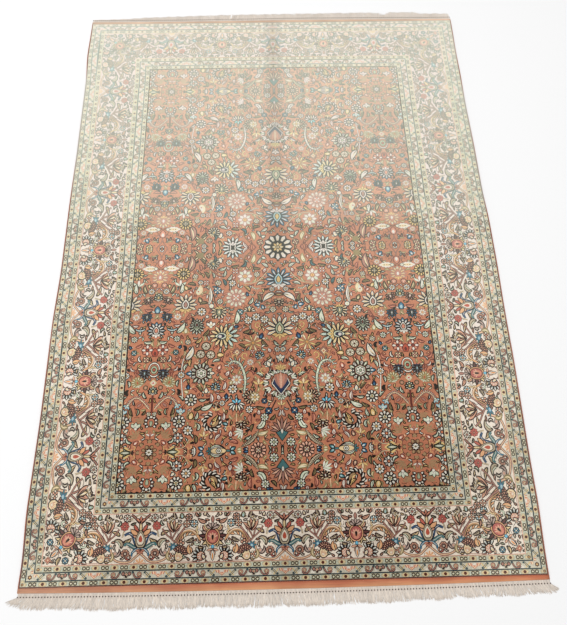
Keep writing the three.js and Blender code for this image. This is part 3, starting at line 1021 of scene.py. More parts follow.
KINDS = {kind.__name__: kind for kind in (
    flower, wheel, palmette, tulip, bud, leaf, hook, saz, comb, bead, smile, lozenge, star, sprig,
    curl, paisley, spray, split_oval, lotus, horseshoe, scroll_leaf, fan_stems, palm, carnation,
    parrot, puff, bird, cluster, crown, horn, scallop, saz_arc, zigzag, tendril, cartouche,
    border_stems, dusky_wheel, diamond_lily, onion, double_leaf, crescent, twin_leaf, aster, spoked,
    jewel, line_curl, medallion, plume, lily, wreath, saz_curl, speck,
)}


def motif(kind, x, y, turn, size, tones):
    """One row of the tables of motifs, drawn at its place."""
    return place(KINDS[kind](size, SETS[tones]), x, y, turn)


# The field, from the rug's middle to the right and towards the near end.
# Columns: kind, x, y, turn, size, set of tones
FIELD = [
    # on the long middle line
    ("wheel", 0, 0, 0, 43, "w_cream"),
    ("palmette", 0, -108, 0, 40, "blue"),
    ("palmette", 0, -178, 180, 17, "mauve"),
    ("palmette", 0, -262, 0, 40, "gold_white"),
    ("tulip", 0, -352, 0, 17, "white"),
    ("sprig", 0, -385, 0, 13, "gold"),
    ("medallion", 0, -414, 0, 45, "p_shield"),
    ("sprig", 0, -480, 0, 14, "gold"),
    ("plume", 0, -556, 0, 46, "p_teal"),
    # along the short middle line
    ("wheel", 133, 0, 0, 19, "white"),
    ("palmette", 133, -4, 180, 32, "p_ice"),
    ("star", 228, -24, 0, 32, "brown"),
    ("flower", 218, -7, 0, 8, "daisy"),
    # first rows
    ("bud", 48, -34, 110, 12, "sage"),
    ("leaf", 78, -52, 10, 32, "beige"),
    ("leaf", 62, -56, 20, 24, "sage"),
    ("hook", 108, -62, 20, 26, "teal"),
    ("bud", 172, -34, 160, 16, "white"),
    ("palmette", 190, -52, 150, 20, "white"),
    ("comb", 180, -88, 90, 26, "maroon"),
    ("comb", 172, -80, 90, 26, "maroon"),
    ("hook", 188, -44, -20, 22, "teal"),
    ("leaf", 258, -76, 0, 54, "mauve"),
    ("wheel", 275, -84, 0, 20, "gold"),
    ("bud", 293, -34, -30, 15, "blue"),
    ("hook", 318, -40, -60, 18, "mauve"),
    ("bud", 341, -38, 180, 22, "rose"),
    ("scroll_leaf", 330, -66, 90, 30, "white"),
    ("palmette", 341, -96, 0, 24, "p_pink"),
    ("bead", 328, -120, 0, 8, "mauve"),
    ("sprig", 282, -122, 0, 20, "sage"),
    ("leaf", 280, -146, 0, 34, "sage"),
    ("leaf", 308, -146, 10, 30, "brown"),
    ("paisley", 234, -150, 10, 22, "beige"),
    ("bud", 262, -136, -30, 14, "gold"),
    ("flower", 208, -114, 0, 9, "rose"),
    ("flower", 224, -113, 0, 8, "daisy"),
    ("leaf", 30, -68, -60, 26, "sage"),
    ("bud", 42, -82, 20, 12, "maroon"),
    ("flower", 97, -95, 0, 22, "daisy8"),
    ("flower", 133, -117, 0, 11, "daisy"),
    ("flower", 125, -78, 0, 10, "rose"),
    ("leaf", 160, -96, 10, 24, "sage"),
    ("leaf", 152, -124, -30, 24, "teal"),
    ("comb", 75, -128, 90, 24, "sage"),
    ("hook", 178, -150, -40, 34, "blue"),
    ("flower", 175, -139, 0, 12, "blue"),
    ("hook", 42, -136, 60, 16, "shade"),
    ("flower", 20, -138, 0, 8, "daisy"),
    ("leaf", 12, -152, -130, 44, "white"),
    ("wheel", 122, -163, 0, 29, "p_mauve"),
    # second rows
    ("bud", 54, -188, -80, 15, "blue"),
    ("bud", 44, -200, -20, 13, "blue"),
    ("lotus", 84, -206, 0, 19, "white"),
    ("flower", 42, -232, 0, 12, "daisy"),
    ("flower", 65, -224, 0, 12, "daisy"),
    ("flower", 87, -234, 0, 12, "daisy"),
    ("flower", 110, -208, 0, 10, "teal"),
    ("leaf", 122, -244, 0, 40, "sage"),
    ("flower", 143, -228, 0, 7, "rose"),
    ("bud", 163, -240, 20, 10, "maroon"),
    ("palmette", 169, -206, 180, 24, "gold_white"),
    ("bead", 191, -188, 0, 7, "white"),
    ("saz", 200, -185, 0, 60, "white"),
    ("bud", 221, -176, -20, 15, "brown"),
    ("palmette", 264, -184, 0, 34, "p_stripe"),
    ("flower", 218, -205, 0, 13, "daisy"),
    ("bead", 202, -221, 0, 5, "teal"),
    ("palmette", 230, -252, 180, 23, "p_green"),
    ("palmette", 230, -246, 0, 19, "p_green"),
    ("hook", 244, -236, -30, 18, "shade"),
    ("tulip", 191, -252, 0, 18, "white"),
    ("leaf", 285, -268, 30, 40, "sage"),
    ("bud", 260, -270, 0, 14, "beige"),
    ("smile", 298, -252, 0, 15, "sky"),
    ("palmette", 314, -218, 180, 16, "p_bluedark"),
    ("bud", 341, -208, 0, 19, "p_eye"),
    ("palmette", 341, -160, 0, 14, "sage"),
    ("palmette", 314, -166, 200, 15, "mauve"),
    ("palmette", 341, -262, 0, 26, "p_fan"),
    ("hook", 104, -258, 0, 12, "maroon"),
    ("curl", 60, -258, 0, 20, "goldc"),
    ("bud", 54, -290, 20, 16, "navy"),
    ("aster", 74, -302, 0, 26, "yellow"),
    ("sprig", 80, -278, -10, 15, "twig"),
    ("palmette", 150, -280, 90, 38, "p_light"),
    ("palmette", 160, -280, -90, 34, "p_yellow"),
    ("bead", 165, -281, 0, 7, "navy"),
    # third rows
    ("spoked", 203, -310, 0, 12, "grey"),
    ("spoked", 190, -335, 0, 12, "grey"),
    ("spoked", 217, -333, 0, 12, "grey"),
    ("bud", 172, -336, 90, 17, "gold"),
    ("lozenge", 118, -329, 0, 15, "brownl"),
    ("curl", 96, -350, 0, 22, "goldc"),
    ("curl", 130, -345, 60, 16, "goldc"),
    ("palmette", 56, -340, -30, 14, "sky"),
    ("bud", 26, -330, -30, 12, "maroon"),
    ("leaf", 46, -366, 45, 32, "white"),
    ("bud", 30, -372, -20, 15, "white"),
    ("hook", 72, -386, 0, 16, "shade"),
    ("curl", 46, -392, 0, 20, "goldc"),
    ("saz_curl", 101, -458, 0, 128, "mintsaz"),
    ("flower", 119, -408, 0, 15, "daisy8"),
    ("bud", 136, -420, 20, 10, "beige"),
    ("flower", 129, -434, 0, 13, "daisy"),
    ("bud", 147, -396, 30, 14, "maroon"),
    ("bud", 168, -378, 20, 14, "rose"),
    ("jewel", 214, -388, 0, 33, "p_green"),
    ("bud", 240, -388, -90, 14, "blue"),
    ("bud", 192, -388, 90, 13, "white"),
    ("palmette", 175, -428, 0, 14, "sky"),
    ("leaf", 156, -436, 10, 26, "maroon"),
    ("bud", 200, -444, 0, 14, "white"),
    ("bud", 248, -432, 0, 13, "navy"),
    ("flower", 268, -391, 0, 10, "daisy"),
    ("flower", 285, -326, 0, 8, "teal"),
    ("hook", 262, -322, -30, 20, "shade"),
    ("leaf", 258, -348, 22, 46, "white"),
    ("flower", 321, -318, 0, 16, "p_maroon"),
    ("bud", 341, -336, 0, 20, "p_red"),
    ("hook", 308, -352, 0, 24, "white"),
    ("split_oval", 341, -375, 0, 26, "p_oval"),
    ("palmette", 317, -384, 180, 17, "p_greyblue"),
    ("hook", 288, -352, 30, 24, "rose"),
    ("hook", 292, -376, 30, 22, "maroon"),
    ("palmette", 300, -412, 20, 18, "beige"),
    ("lozenge", 341, -412, 0, 11, "cream"),
    ("palmette", 341, -436, 0, 13, "sage"),
    ("bead", 322, -425, 0, 6, "brown"),
    ("hook", 276, -446, -20, 20, "shade"),
    ("sprig", 60, -422, 0, 18, "gold"),
    # fourth rows
    ("palmette", 80, -457, -90, 22, "mauve"),
    ("flower", 70, -457, 0, 13, "cream"),
    ("flower", 45, -468, 0, 8, "navy"),
    ("bud", 146, -460, 0, 13, "navy"),
    ("bud", 164, -462, -20, 13, "maroon"),
    ("flower", 157, -472, 0, 8, "daisy"),
    ("lily", 119, -474, 0, 25, "p_bluetop"),
    ("leaf", 214, -487, 60, 38, "sage"),
    ("leaf", 186, -470, -10, 28, "maroon"),
    ("wheel", 240, -461, 0, 17, "white"),
    ("tulip", 266, -498, 0, 17, "sky"),
    ("wheel", 269, -519, 0, 17, "white"),
    ("bud", 240, -514, 10, 18, "gold"),
    ("leaf", 228, -516, 10, 24, "mint"),
    ("wreath", 182, -522, 0, 27, "p_ring"),
    ("hook", 222, -544, -20, 26, "mint"),
    ("flower", 245, -543, 0, 13, "daisy"),
    ("flower", 270, -562, 0, 14, "daisyb"),
    ("leaf", 224, -578, -10, 24, "brown"),
    ("sprig", 203, -560, 0, 16, "gold"),
    ("sprig", 173, -492, 0, 13, "gold"),
    ("leaf", 155, -520, 0, 24, "maroon"),
    ("bud", 142, -530, -70, 13, "teal"),
    ("fan_stems", 119, -498, 180, 36, "brown"),
    ("palmette", 107, -530, 170, 16, "mauve"),
    ("hook", 66, -540, 10, 44, "mint"),
    ("flower", 45, -512, 0, 11, "sage"),
    ("flower", 34, -495, 0, 10, "navy"),
    ("bud", 60, -505, 0, 12, "maroon"),
    ("saz", 106, -588, 44, 66, "feather"),
    ("leaf", 64, -556, 70, 30, "beige"),
    ("palm", 310, -560, 40, 26, "dusky"),
    ("palm", 318, -508, 150, 24, "dusky"),
    ("palm", 102, -548, -120, 26, "mintsaz"),
    ("bud", 134, -562, 0, 14, "maroon"),
    ("flower", 22, -578, 0, 12, "sage"),
    ("wheel", 62, -598, 0, 21, "dustwheel"),
    ("onion", 168, -598, 90, 27, "p_onion"),
    ("bud", 133, -596, 60, 13, "teal"),
    ("bud", 204, -594, -60, 13, "blue"),
    ("bud", 186, -566, 20, 13, "mauve"),
    ("hook", 235, -604, 0, 26, "white"),
    ("diamond_lily", 283, -598, 90, 19, "p_lily"),
    ("tulip", 303, -536, 0, 18, "p_mint"),
    ("horseshoe", 341, -520, 0, 19, "p_shoe"),
    ("spray", 341, -487, 0, 44, "p_spray"),
    ("dusky_wheel", 341, -598, 0, 35, "dusk"),
    ("sprig", 341, -556, 0, 12, "maroon"),
    ("hook", 296, -572, 30, 24, "sage"),
]

# Stalks of the field. Columns: width, tone, line
STALKS = [
    (2.2, "maroon", [(341, -494), (341, -446)]),
    (2.0, "brown", [(14, -466), (26, -490), (46, -524)]),
    (2.4, "ivory", [(263, -345), (267, -370), (267, -410), (262, -452)]),
    (1.6, "olive", [(205, -5), (228, -25), (262, -60), (262, -76)]),
    (1.6, "cream", [(22, -68), (60, -112), (100, -118)]),
    (1.4, "brown", [(165, -204), (180, -178), (186, -150)]),
    (1.4, "gold", [(50, -420), (58, -440), (74, -450)]),
    (1.4, "olive", [(180, -404), (178, -430), (186, -456)]),
    (1.6, "maroon", [(300, -550), (330, -505)]),
    (1.6, "olive", [(96, -62), (100, -40), (84, -18)]),
    (1.6, "mauve", [(325, 0), (341, -26), (341, -44)]),
    (1.4, "cream", [(240, -566), (256, -588), (290, -586)]),
    (1.4, "gold", [(205, -540), (216, -560), (250, -580)]),
]

# Main border, from a blue lotus at u = 0 to a red palmette at u = 175.
# v runs from the outer edge, -57, to the inner edge, 57. Columns: kind, u, v, turn, size, set of tones
BORDER_HALF = [
    ("cartouche", 0, 0, 0, 1, "rosearc"),
    ("flower", 34, 47, 0, 9, "brownflower"),
    ("bud", 51, 46, 20, 9, "brownb"),
    ("hook", 60, 50, -40, 12, "brownb"),
    ("carnation", 39, 28, 0, 11, "carnation"),
    ("leaf", 24, 32, 60, 14, "green"),
    ("hook", 57, 30, 10, 17, "mint"),
    ("parrot", 79, 16, -8, 40, "parrot"),
    ("leaf", 50, 6, -70, 22, "olive"),
    ("hook", 46, -22, -60, 32, "greyolive"),
    ("crescent", 62, -40, 20, 20, "cloudf"),
    ("puff", 60, -34, 0, 6, "cloudf"),
    ("dusky_wheel", 36, -35, 0, 10.5, "rosetuft"),
    ("twin_leaf", 25, -48, -30, 12, "rosel"),
    ("crescent", 47, -46, 30, 11, "brownb"),
    ("leaf", 72, -52, 10, 22, "beige"),
    ("bird", 80, -22, 10, 11, "bluebird"),
    ("cluster", 98, -10, 0, 11, "bubble"),
    ("crown", 95, -40, -20, 15, "crown"),
    ("cluster", 76, -42, 30, 8, "bubble"),
    ("horn", 121, -38, 10, 24, "orange"),
    ("hook", 111, -46, 20, 12, "mint"),
    ("scallop", 148, -44, 62, 24, "shell"),
    ("saz_arc", 86, -12, 0, 64, "sazarc"),
    ("border_stems", 0, 0, 0, 1, "brownb"),
    ("flower", 112, 31, 0, 9, "pinkb"),
    ("flower", 117, 46, 0, 9, "cloudf"),
    ("bud", 101, 44, 10, 12, "greenb"),
    ("flower", 130, 31, 0, 9.5, "daisyd"),
    ("zigzag", 136, 6, 0, 20, "brownb"),
    ("leaf", 160, 34, 60, 24, "rosel"),
    ("leaf", 142, 47, 30, 16, "rosel"),
    ("bud", 155, 50, -20, 9, "brownb"),
    ("hook", 152, -22, 60, 16, "olive"),
    ("bud", 156, -50, 30, 11, "brownb"),
    ("hook", 146, -12, 20, 9, "brownb"),
]

# What stands in each outer corner of the main border, for the near right one, besides its palmette.
# Columns: kind, x, y, turn, size, set of tones
CORNER = [
    ("flower", 568, -810, 0, 8, "p_eye"),
    ("flower", 528, -853, 0, 8, "p_eye"),
    ("lozenge", 570, -851, 0, 10, "rosel"),
    ("bud", 556, -836, 225, 11, "rosel"),
    ("bead", 572, -789, 0, 3.4, "brownb"),
    ("bead", 510, -857, 0, 3.4, "brownb"),
    ("hook", 553, -858, -60, 13, "brownb"),
    ("hook", 576, -838, 20, 13, "brownb"),
    ("lozenge", 469, -752, 0, 6, "redstar"),
    ("hook", 484, -770, 40, 12, "brownb"),
    ("leaf", 500, -762, 100, 18, "rosel"),
    ("leaf", 481, -782, 170, 18, "rosel"),
]

BORDER_MIDDLE = 105.0       # from the outer line to the middle of the main border
BORDER_REACH = 57.0         # half its width
END_UNIT = 175.0            # from a lotus to a palmette along the ends
SIDE_UNIT = 201.5           # the same along the sides
PAST_MIDDLE = 30            # the sides are drawn this far past the rug's middle line
BEAD_HALF = 23.35           # half of one repeat of the bead stripe
VINE_HALF = 73.5            # half of one repeat of the vine stripe

# Stripes from the outer line inwards: where each starts, and its tone
STRIPES = (
    (0.0, "plum"), (2.2, "beadground"), (12.2, "tealline"), (15.0, "vineground"), (30.8, "tealline"),
    (33.6, "beadground"), (46.0, "roseline"), (48.0, "borderground"), (162.0, "roseline"),
    (164.0, "beadground"), (176.6, "tealline"), (179.4, "vineground"), (195.8, "tealline"),
    (198.6, "beadground"), (210.4, "dark"), (BORDER, "ground"),
)


def blue_lotus():
    """Blue lotus of the main border, pointing to the field."""
    shapes = []
    for side in (-1, 1):
        for width, tone, line in (
                (9.6, "teal", ((0, -22), (14, -21), (26, -14), (34, -12), (39, -17))),
                (6.1, "blue", ((0, -22), (11, -26), (19, -33), (20, -41))),
                (9.6, "deepblue", ((4, -20), (12, -8), (18, 6), (28, 12), (39, 7)))):
            path = [(side * x, y) for x, y in line]
            shapes += edged_ribbon(path, width, tone, "dark", rim=1.6, taper=0.55)
            shapes.append((ribbon(path[:-1], 1.4, 0.3), "ivory"))
        for length, width, bend, y, lean, tone in ((24, 11, 0.5, 8, 52, "dustorange"),
                                                   (20, 8, 0.4, 16, 32, "dustbrick"),
                                                   (15, 6, 0.6, 2, 66, "dustrose")):
            one = blade(length, width, bend=-side * bend, base=0.3)
            shapes += place(edged(one, tone, "line", FINE_RIM), side * 5, y, -side * lean)
    for k, tone in ((1.0, "dark"), (0.88, "greige"), (0.72, "line"), (0.62, "palecream"), (0.36, "brick")):
        shapes.append((turned(blade(45 * k, 27 * k, belly=0.36, base=0.5), 0, 0, -22 * k - 1), tone))
    shapes += place(edged(blade(24, 7, belly=0.4, base=0.8, steps=4), "dustgold", "line", FINE_RIM), 0, 18)
    for side in (-1, 1):
        shapes += edged_ribbon([(0, 34), (side * 8, 41), (side * 16, 50), (side * 24, 55)], 2.6, "mauve",
                               "line")
    shapes += place(fan(3, 90, 0, 16, 6, "rose", "line", FINE_RIM), 0, 36)
    shapes += place(fan(5, 150, 0, 12, 5, "rose", "line", 1.4), 0, -26, 180)
    shapes += place(fan(5, 170, 2, 14, 5, "dustorange", "peach", 0.3), 0, -58)
    return shapes


def red_palmette():
    """Red round palmette of the main border, pointing to the field."""
    shapes = []
    for side in (-1, 1):
        for i, tone in enumerate(("mauve", "dustrose", "cloud", "plum", "mauve", "dustgold", "plum")):
            a = math.radians(-side * (24 + 20 * i))
            one = blade(17 + (i % 2) * 5, 8, bend=-side * 1.0, base=0.4)
            shapes += edged(turned(one, a, -12 * math.sin(a), 3 + 13 * math.cos(a)), tone, "dark", RIM)
        shapes += edged_ribbon([(side * 8, 14), (side * 17, 20), (side * 20, 29)], 3.0, "dustgold", "dark",
                               1.6, 0.3)
        shapes += edged_ribbon([(side * 12, -2), (side * 14, -14), (side * 9, -25)], 2.0, "dustgold",
                               "dark", 1.5)
    for width, length, tone in ((38, 44, "dark"), (34.5, 40.5, "dustorange"), (30.5, 35, "line"),
                                (27, 31, "rosered")):
        shapes.append((oval(width, length), tone))
    shapes.append((turned(oval(17, 22), 0, 0, -3), "rose"))
    shapes += place(fan(5, 120, 2, 15, 3.2, "roselight"), 0, -4)
    shapes.append((turned(blade(13, 6, belly=0.3, base=0.8, steps=4), math.pi, 0, 4), "dark"))
    shapes += place(fan(5, 140, 0, 18, 7, "cloud", "dark", FINE_RIM), 0, 18)
    shapes += place(edged(blade(15, 8, belly=0.45, base=0.5), "mauve", "line", 1.5), 0, 34)
    shapes += place(edged(oval(8, 9), "turquoise", "navy", 1.3), 0, -23)
    shapes += place(fan(4, 160, 0, 15, 6, "roselight", "line", 1.5), 0, -29, 180)
    shapes += place(edged(blade(24, 9, belly=0.45, base=0.4), "ivory", "line", 1.6), 0, -32, 180)
    shapes.append((turned(blade(15, 4, belly=0.45, base=0.4, steps=4), math.pi, 0, -38), "orange"))
    return shapes


def bead_cell():
    """Half of one repeat of the bead stripe: a pointed dot at 0, a chevron and a ringed oval."""
    shapes = [([(0, -5.2), (3.8, -4.2), (8.2, 0), (3.8, 4.2), (0, 5.2)], "dustgold")]
    shapes.append((disc(3.9, 8), "wine"))
    shapes.append(([(8.8, -6.0), (12.6, 0), (8.8, 6.0), (10.8, 6.0), (14.6, 0), (10.8, -6.0)], "aqua"))
    ring = [(oval(10.0, 9.6, 9), "nut"), (oval(4.8, 4.0, 7), "mintpale"), (oval(2.4, 2.0, 5), "straw")]
    shapes += place(ring, 18.4, 0)
    return shapes


def vine_cell():
    """Half of one repeat of the vine stripe: nested V shapes at 0, a leaf, and beads on a scroll."""
    shapes = [([(0, -6.6), (15, 6.6), (-1, 6.6), (-1, -6.6)], "ivory")]
    for low, high, tone in ((-6.4, 15.5, "dustbrick"), (-4.6, 13.2, "shell"), (-2.2, 10.0, "dustbrick"),
                            (-0.5, 8.0, "roselight"), (2.1, 4.4, "ivory")):
        outline = [(0, low), (high * 0.62, 1.4), (high * 0.80, -0.4), (high, 6.4), (-1, 6.4), (-1, low)]
        shapes.append((outline, tone))
    shapes.append((ribbon([(16.5, 6.2), (19.5, 1.5), (24, -1.5), (27, -6.2)], 2.4, per=1), "straw"))
    shapes.append((ribbon([(19, -6.4), (24.0, -0.5), (31, 6.4)], 4.4, per=2), "deepteal"))
    shapes.append((ribbon([(20, -5.4), (24.0, -0.5), (30, 5.4)], 1.5, per=2), "cream"))
    shapes.append(([(28, -6.6), (42, -6.6), (36, -0.6)], "ivory"))
    for radius, tone in ((6.2, "line"), (4.9, "dustrose"), (2.9, "line"), (1.8, "cream")):
        shapes.append((turned(disc(radius, 8), 0, 43.5, 1.0), tone))
    scroll = [(39, -2), (43, -6), (50, -6.2), (55, -1.5), (58.5, 6.6)]
    shapes += edged_ribbon(scroll, 1.9, "mauve", "line", rim=1.4, per=2)
    shapes.append(([(58.5, -6.6), (68, -6.6), (62.5, 2.5)], "ivory"))
    beads = (
        (5.2, 66.5, 2.6, "line"), (3.3, 66.5, 2.6, "mauve"), (5.6, 73.5, 1.0, "line"),
        (3.9, 73.5, 1.0, "greige"), (2.0, 73.5, 1.0, "rose"), (2.8, 18.5, -5.0, "deepteal"),
        (2.6, 31.5, 5.0, "deepteal"), (2.8, 59, 5.6, "deepteal"),
    )
    for radius, x, y, tone in beads:
        shapes.append((turned(disc(radius, 7), 0, x, y), tone))
    shapes.append(([(71.0, -6.4), (73.6, -6.4), (73.6, 0), (69.8, 0)], "line"))
    return shapes


# Guard stripes from the outer line inwards. Columns: middle, half height, cell, natural length of the cell
GUARDS = (
    (7.2, 5.0, bead_cell, BEAD_HALF), (22.9, 7.9, vine_cell, VINE_HALF), (39.8, 6.2, bead_cell, BEAD_HALF),
    (170.3, 6.3, bead_cell, BEAD_HALF), (187.6, 8.2, vine_cell, VINE_HALF),
    (204.5, 5.9, bead_cell, BEAD_HALF),
)

# Small motifs that fill the gaps. Columns: kind, tries, size, room along, room across, where the motif's
# middle lies as a share of its size, sets of tones
FIELD_FILLERS = (
    ("flower", 400, 9.5, 22, 22, 0.0, ("daisy", "white", "rose", "sage", "gold", "daisy8", "mauve")),
    ("double_leaf", 2500, 24, 26, 12, 0.5, ("brown", "sage", "gold", "maroon", "mint", "brown", "rose")),
    ("twin_leaf", 2500, 14, 18, 15, 0.5, ("white", "sage", "gold", "rose", "mauve", "mauve")),
    ("bud", 1200, 11, 16, 13, 0.5, ("white", "maroon", "gold", "rose", "navy", "beige", "mauve")),
    ("crescent", 4000, 15, 15, 9, 0.4, ("white", "mint", "gold", "rose", "beige", "cream", "gold")),
    ("leaf", 4000, 13, 13, 7, 0.5, ("white", "sage", "gold", "rose", "maroon", "cream", "peach")),
    ("flower", 1000, 5.5, 12, 12, 0.0, ("daisy", "rose", "sage", "gold", "mauve", "white")),
    ("line_curl", 3500, 15, 13, 9, 0.5, ("ochreline", "creamline", "darkline", "ochreline", "m_mauve")),
    ("leaf", 3000, 9, 9, 6, 0.5, ("white", "gold", "shade", "rose", "mint", "cream")),
    ("tendril", 4000, 14, 13, 4, 0.5, ("shade", "twig", "shade")),
    ("speck", 4000, 7, 8, 4, 0.5, ("m_rose", "m_olive", "ochreline", "m_mauve", "creamline", "shade")),
)
BORDER_FILLERS = (
    ("double_leaf", 900, 20, 21, 11, 0.5, ("brownb", "greyolive", "rosel", "olive", "orange")),
    ("crescent", 1500, 13, 15, 9.5, 0.4, ("brownb", "rosel", "greyolive", "brownb", "greenb")),
    ("twin_leaf", 900, 11, 14, 12, 0.5, ("brownb", "goldbrown", "rosel", "pinkb")),
    ("leaf", 1500, 10, 12, 7, 0.5, ("brownb", "rosel", "olive", "green", "pinkb")),
    ("flower", 500, 4.6, 11, 11, 0.0, ("pinkb", "brownflower", "daisyd")),
    ("tendril", 2500, 11, 12, 5, 0.5, ("brownb",)),
)


# Drawing the pattern as triangles

STRAIGHT = 0.12             # points this close to a straight line are left out
PITCH = 14.0                # grid of points that lets large areas bend with the folds
FREE_GRID = 1.5             # grid that finds room for the small motifs


def topmost(points, shapes):
    """For each point, the number of the last shape that covers it, or -1."""
    order = np.argsort(points[:, 0])
    px = points[order, 0]
    py = points[order, 1]
    found = np.full(len(points), -1)
    for number, (outline, tone, clip) in enumerate(shapes):
        if tone is None:
            continue
        first, last = np.searchsorted(px, (outline[:, 0].min(), outline[:, 0].max()))
        near = (py[first:last] > outline[:, 1].min()) & (py[first:last] < outline[:, 1].max())
        chosen = np.nonzero(near)[0] + first
        if not len(chosen):
            continue
        x = px[chosen]
        y = py[chosen]
        ax, ay = outline[:, 0, None], outline[:, 1, None]
        end = np.roll(outline, -1, axis=0)
        bx, by = end[:, 0, None], end[:, 1, None]
        side = (bx - ax) * (y - ay) - (x - ax) * (by - ay)
        winding = ((ay <= y) & (by > y) & (side > 0)).sum(0) - ((ay > y) & (by <= y) & (side < 0)).sum(0)
        inside = winding != 0
        for a, b, c in clip:
            inside &= a * x + b * y <= c
        found[chosen[inside]] = number
    back = np.empty_like(found)
    back[order] = found
    return back


def cut(points, edges):
    """Triangles between the points, along the edges."""
    corners, _, faces, _, _, _ = delaunay_2d_cdt([Vector(p) for p in points], edges, [], 0, 1e-3, False)
    return np.array([(c.x, c.y) for c in corners]), np.array(faces)


def edge_list(triangles):
    """All edges of the triangles, lower point first, with the triangle that each belongs to."""
    pairs = np.concatenate([triangles[:, (0, 1)], triangles[:, (1, 2)], triangles[:, (2, 0)]])
    owner = np.tile(np.arange(len(triangles)), 3)
    pairs = np.sort(pairs, axis=1)
    order = np.lexsort((pairs[:, 1], pairs[:, 0]))
    return pairs[order], owner[order]


def thinned(points, edges, tolerance):
    """The edges with the points left out that lie almost straight between their two neighbours."""
    joined = {}
    for a, b in edges:
        joined.setdefault(a, set()).add(b)
        joined.setdefault(b, set()).add(a)
    for middle in list(joined):
        if len(joined[middle]) != 2:
            continue
        a, b = joined[middle]
        if b in joined[a]:
            continue
        ax, ay = points[a]
        bx, by = points[b]
        mx, my = points[middle]
        length = math.hypot(bx - ax, by - ay)
        if length and abs((bx - ax) * (my - ay) - (mx - ax) * (by - ay)) / length < tolerance:
            joined[a].discard(middle)
            joined[b].discard(middle)
            joined[a].add(b)
            joined[b].add(a)
            del joined[middle]
    return [(a, b) for a, others in joined.items() for b in others if a < b]


def in_box(points, box):
    """Which of the points lie inside the box."""
    x0, y0, x1, y1 = box
    return (points[:, 0] > x0) & (points[:, 0] < x1) & (points[:, 1] > y0) & (points[:, 1] < y1)


def crossing(shapes, box):
    """The shapes that reach into the box, as arrays."""
    x0, y0, x1, y1 = box
    kept = []
    for outline, tone, clip in shapes:
        points = np.array(outline, float)
        low = points.min(0)
        high = points.max(0)
        if low[0] < x1 and high[0] > x0 and low[1] < y1 and high[1] > y0:
            kept.append((points, tone, clip))
    return kept


def partition(shapes, box, ground):
    """Triangles that fill the box, each of one tone, and their tones. The shapes lie over one another in
    their order. The first cut follows every outline; the second only those where the tone changes."""
    x0, y0, x1, y1 = box
    kept = crossing(shapes, box)
    points = [(x0, y0), (x1, y0), (x1, y1), (x0, y1)]
    edges = [(0, 1), (1, 2), (2, 3), (3, 0)]
    for outline, _, _ in kept:
        start = len(points)
        count = len(outline)
        points += [tuple(p) for p in outline]
        edges += [(start + i, start + (i + 1) % count) for i in range(count)]
    tone_numbers = {tone: i for i, tone in enumerate(TONES)}
    number_of = np.array([-1 if tone is None else tone_numbers[tone] for _, tone, _ in kept]
                         + [tone_numbers[ground]])

    corners, triangles = cut(points, edges)
    triangles = triangles[in_box(corners[triangles].mean(1), box)]
    tones = number_of[topmost(corners[triangles].mean(1), kept)]
    pairs, owner = edge_list(triangles)
    same = np.all(pairs[1:] == pairs[:-1], axis=1)
    inner = np.nonzero(same)[0]
    boundary = np.ones(len(pairs), bool)
    boundary[inner] = False
    boundary[inner + 1] = False
    changing = inner[tones[owner[inner]] != tones[owner[inner + 1]]]
    chosen = np.concatenate([pairs[boundary], pairs[changing]])
    chosen = thinned(corners, [tuple(e) for e in chosen.tolist()], STRAIGHT)

    used = sorted({i for e in chosen for i in e})
    place_of = {old: new for new, old in enumerate(used)}
    points = [tuple(corners[i]) for i in used]
    edges = [(place_of[a], place_of[b]) for a, b in chosen]
    for x in np.arange(x0 + PITCH, x1 - PITCH / 2, PITCH):
        for y in np.arange(y0 + PITCH, y1 - PITCH / 2, PITCH):
            points.append((x, y))
    corners, triangles = cut(points, edges)
    triangles = triangles[in_box(corners[triangles].mean(1), box)]
    found = topmost(corners[triangles].mean(1), kept)
    return corners, triangles, number_of[found]


def with_fillers(shapes, box, fillers, seed):
    """Small motifs for the gaps that the shapes leave in the box."""
    x0, y0, x1, y1 = box
    step = FREE_GRID
    columns = int((x1 - x0) / step)
    rows = int((y1 - y0) / step)
    gx, gy = np.meshgrid(x0 + (np.arange(columns) + 0.5) * step, y0 + (np.arange(rows) + 0.5) * step,
                         indexing="ij")
    covered = topmost(np.c_[gx.ravel(), gy.ravel()], crossing([(o, t, ()) for o, t in shapes], box))
    free = (covered < 0).reshape(columns, rows)
    chance = random.Random(seed)
    added = []
    for kind, tries, size, along, across, middle, tone_sets in fillers:
        for _ in range(tries):
            x = chance.uniform(x0, x1)
            y = chance.uniform(y0, y1)
            sway = math.sin(x * 0.021 + 1.3 * math.sin(y * 0.017))
            sway += math.cos(y * 0.026 + 0.7 * math.sin(x * 0.03))
            angle = 90 * sway + chance.gauss(0, 35)
            grow = chance.uniform(0.85, 1.15)
            tones = chance.choice(tone_sets)
            reach = int(along / step / 2) + 1
            i = int((x - x0) / step)
            j = int((y - y0) / step)
            window = (slice(max(i - reach, 0), i + reach + 1), slice(max(j - reach, 0), j + reach + 1))
            dx = gx[window] - x
            dy = gy[window] - y
            c = math.cos(math.radians(angle))
            s = math.sin(math.radians(angle))
            room = ((-s * dx + c * dy) * 2 / along) ** 2 + ((c * dx + s * dy) * 2 / across) ** 2 < 1
            if not free[window][room].all():
                continue
            free[window][room] = False
            back = size * grow * middle
            added += motif(kind, x + s * back, y - c * back, angle, size * grow, tones)
    return added


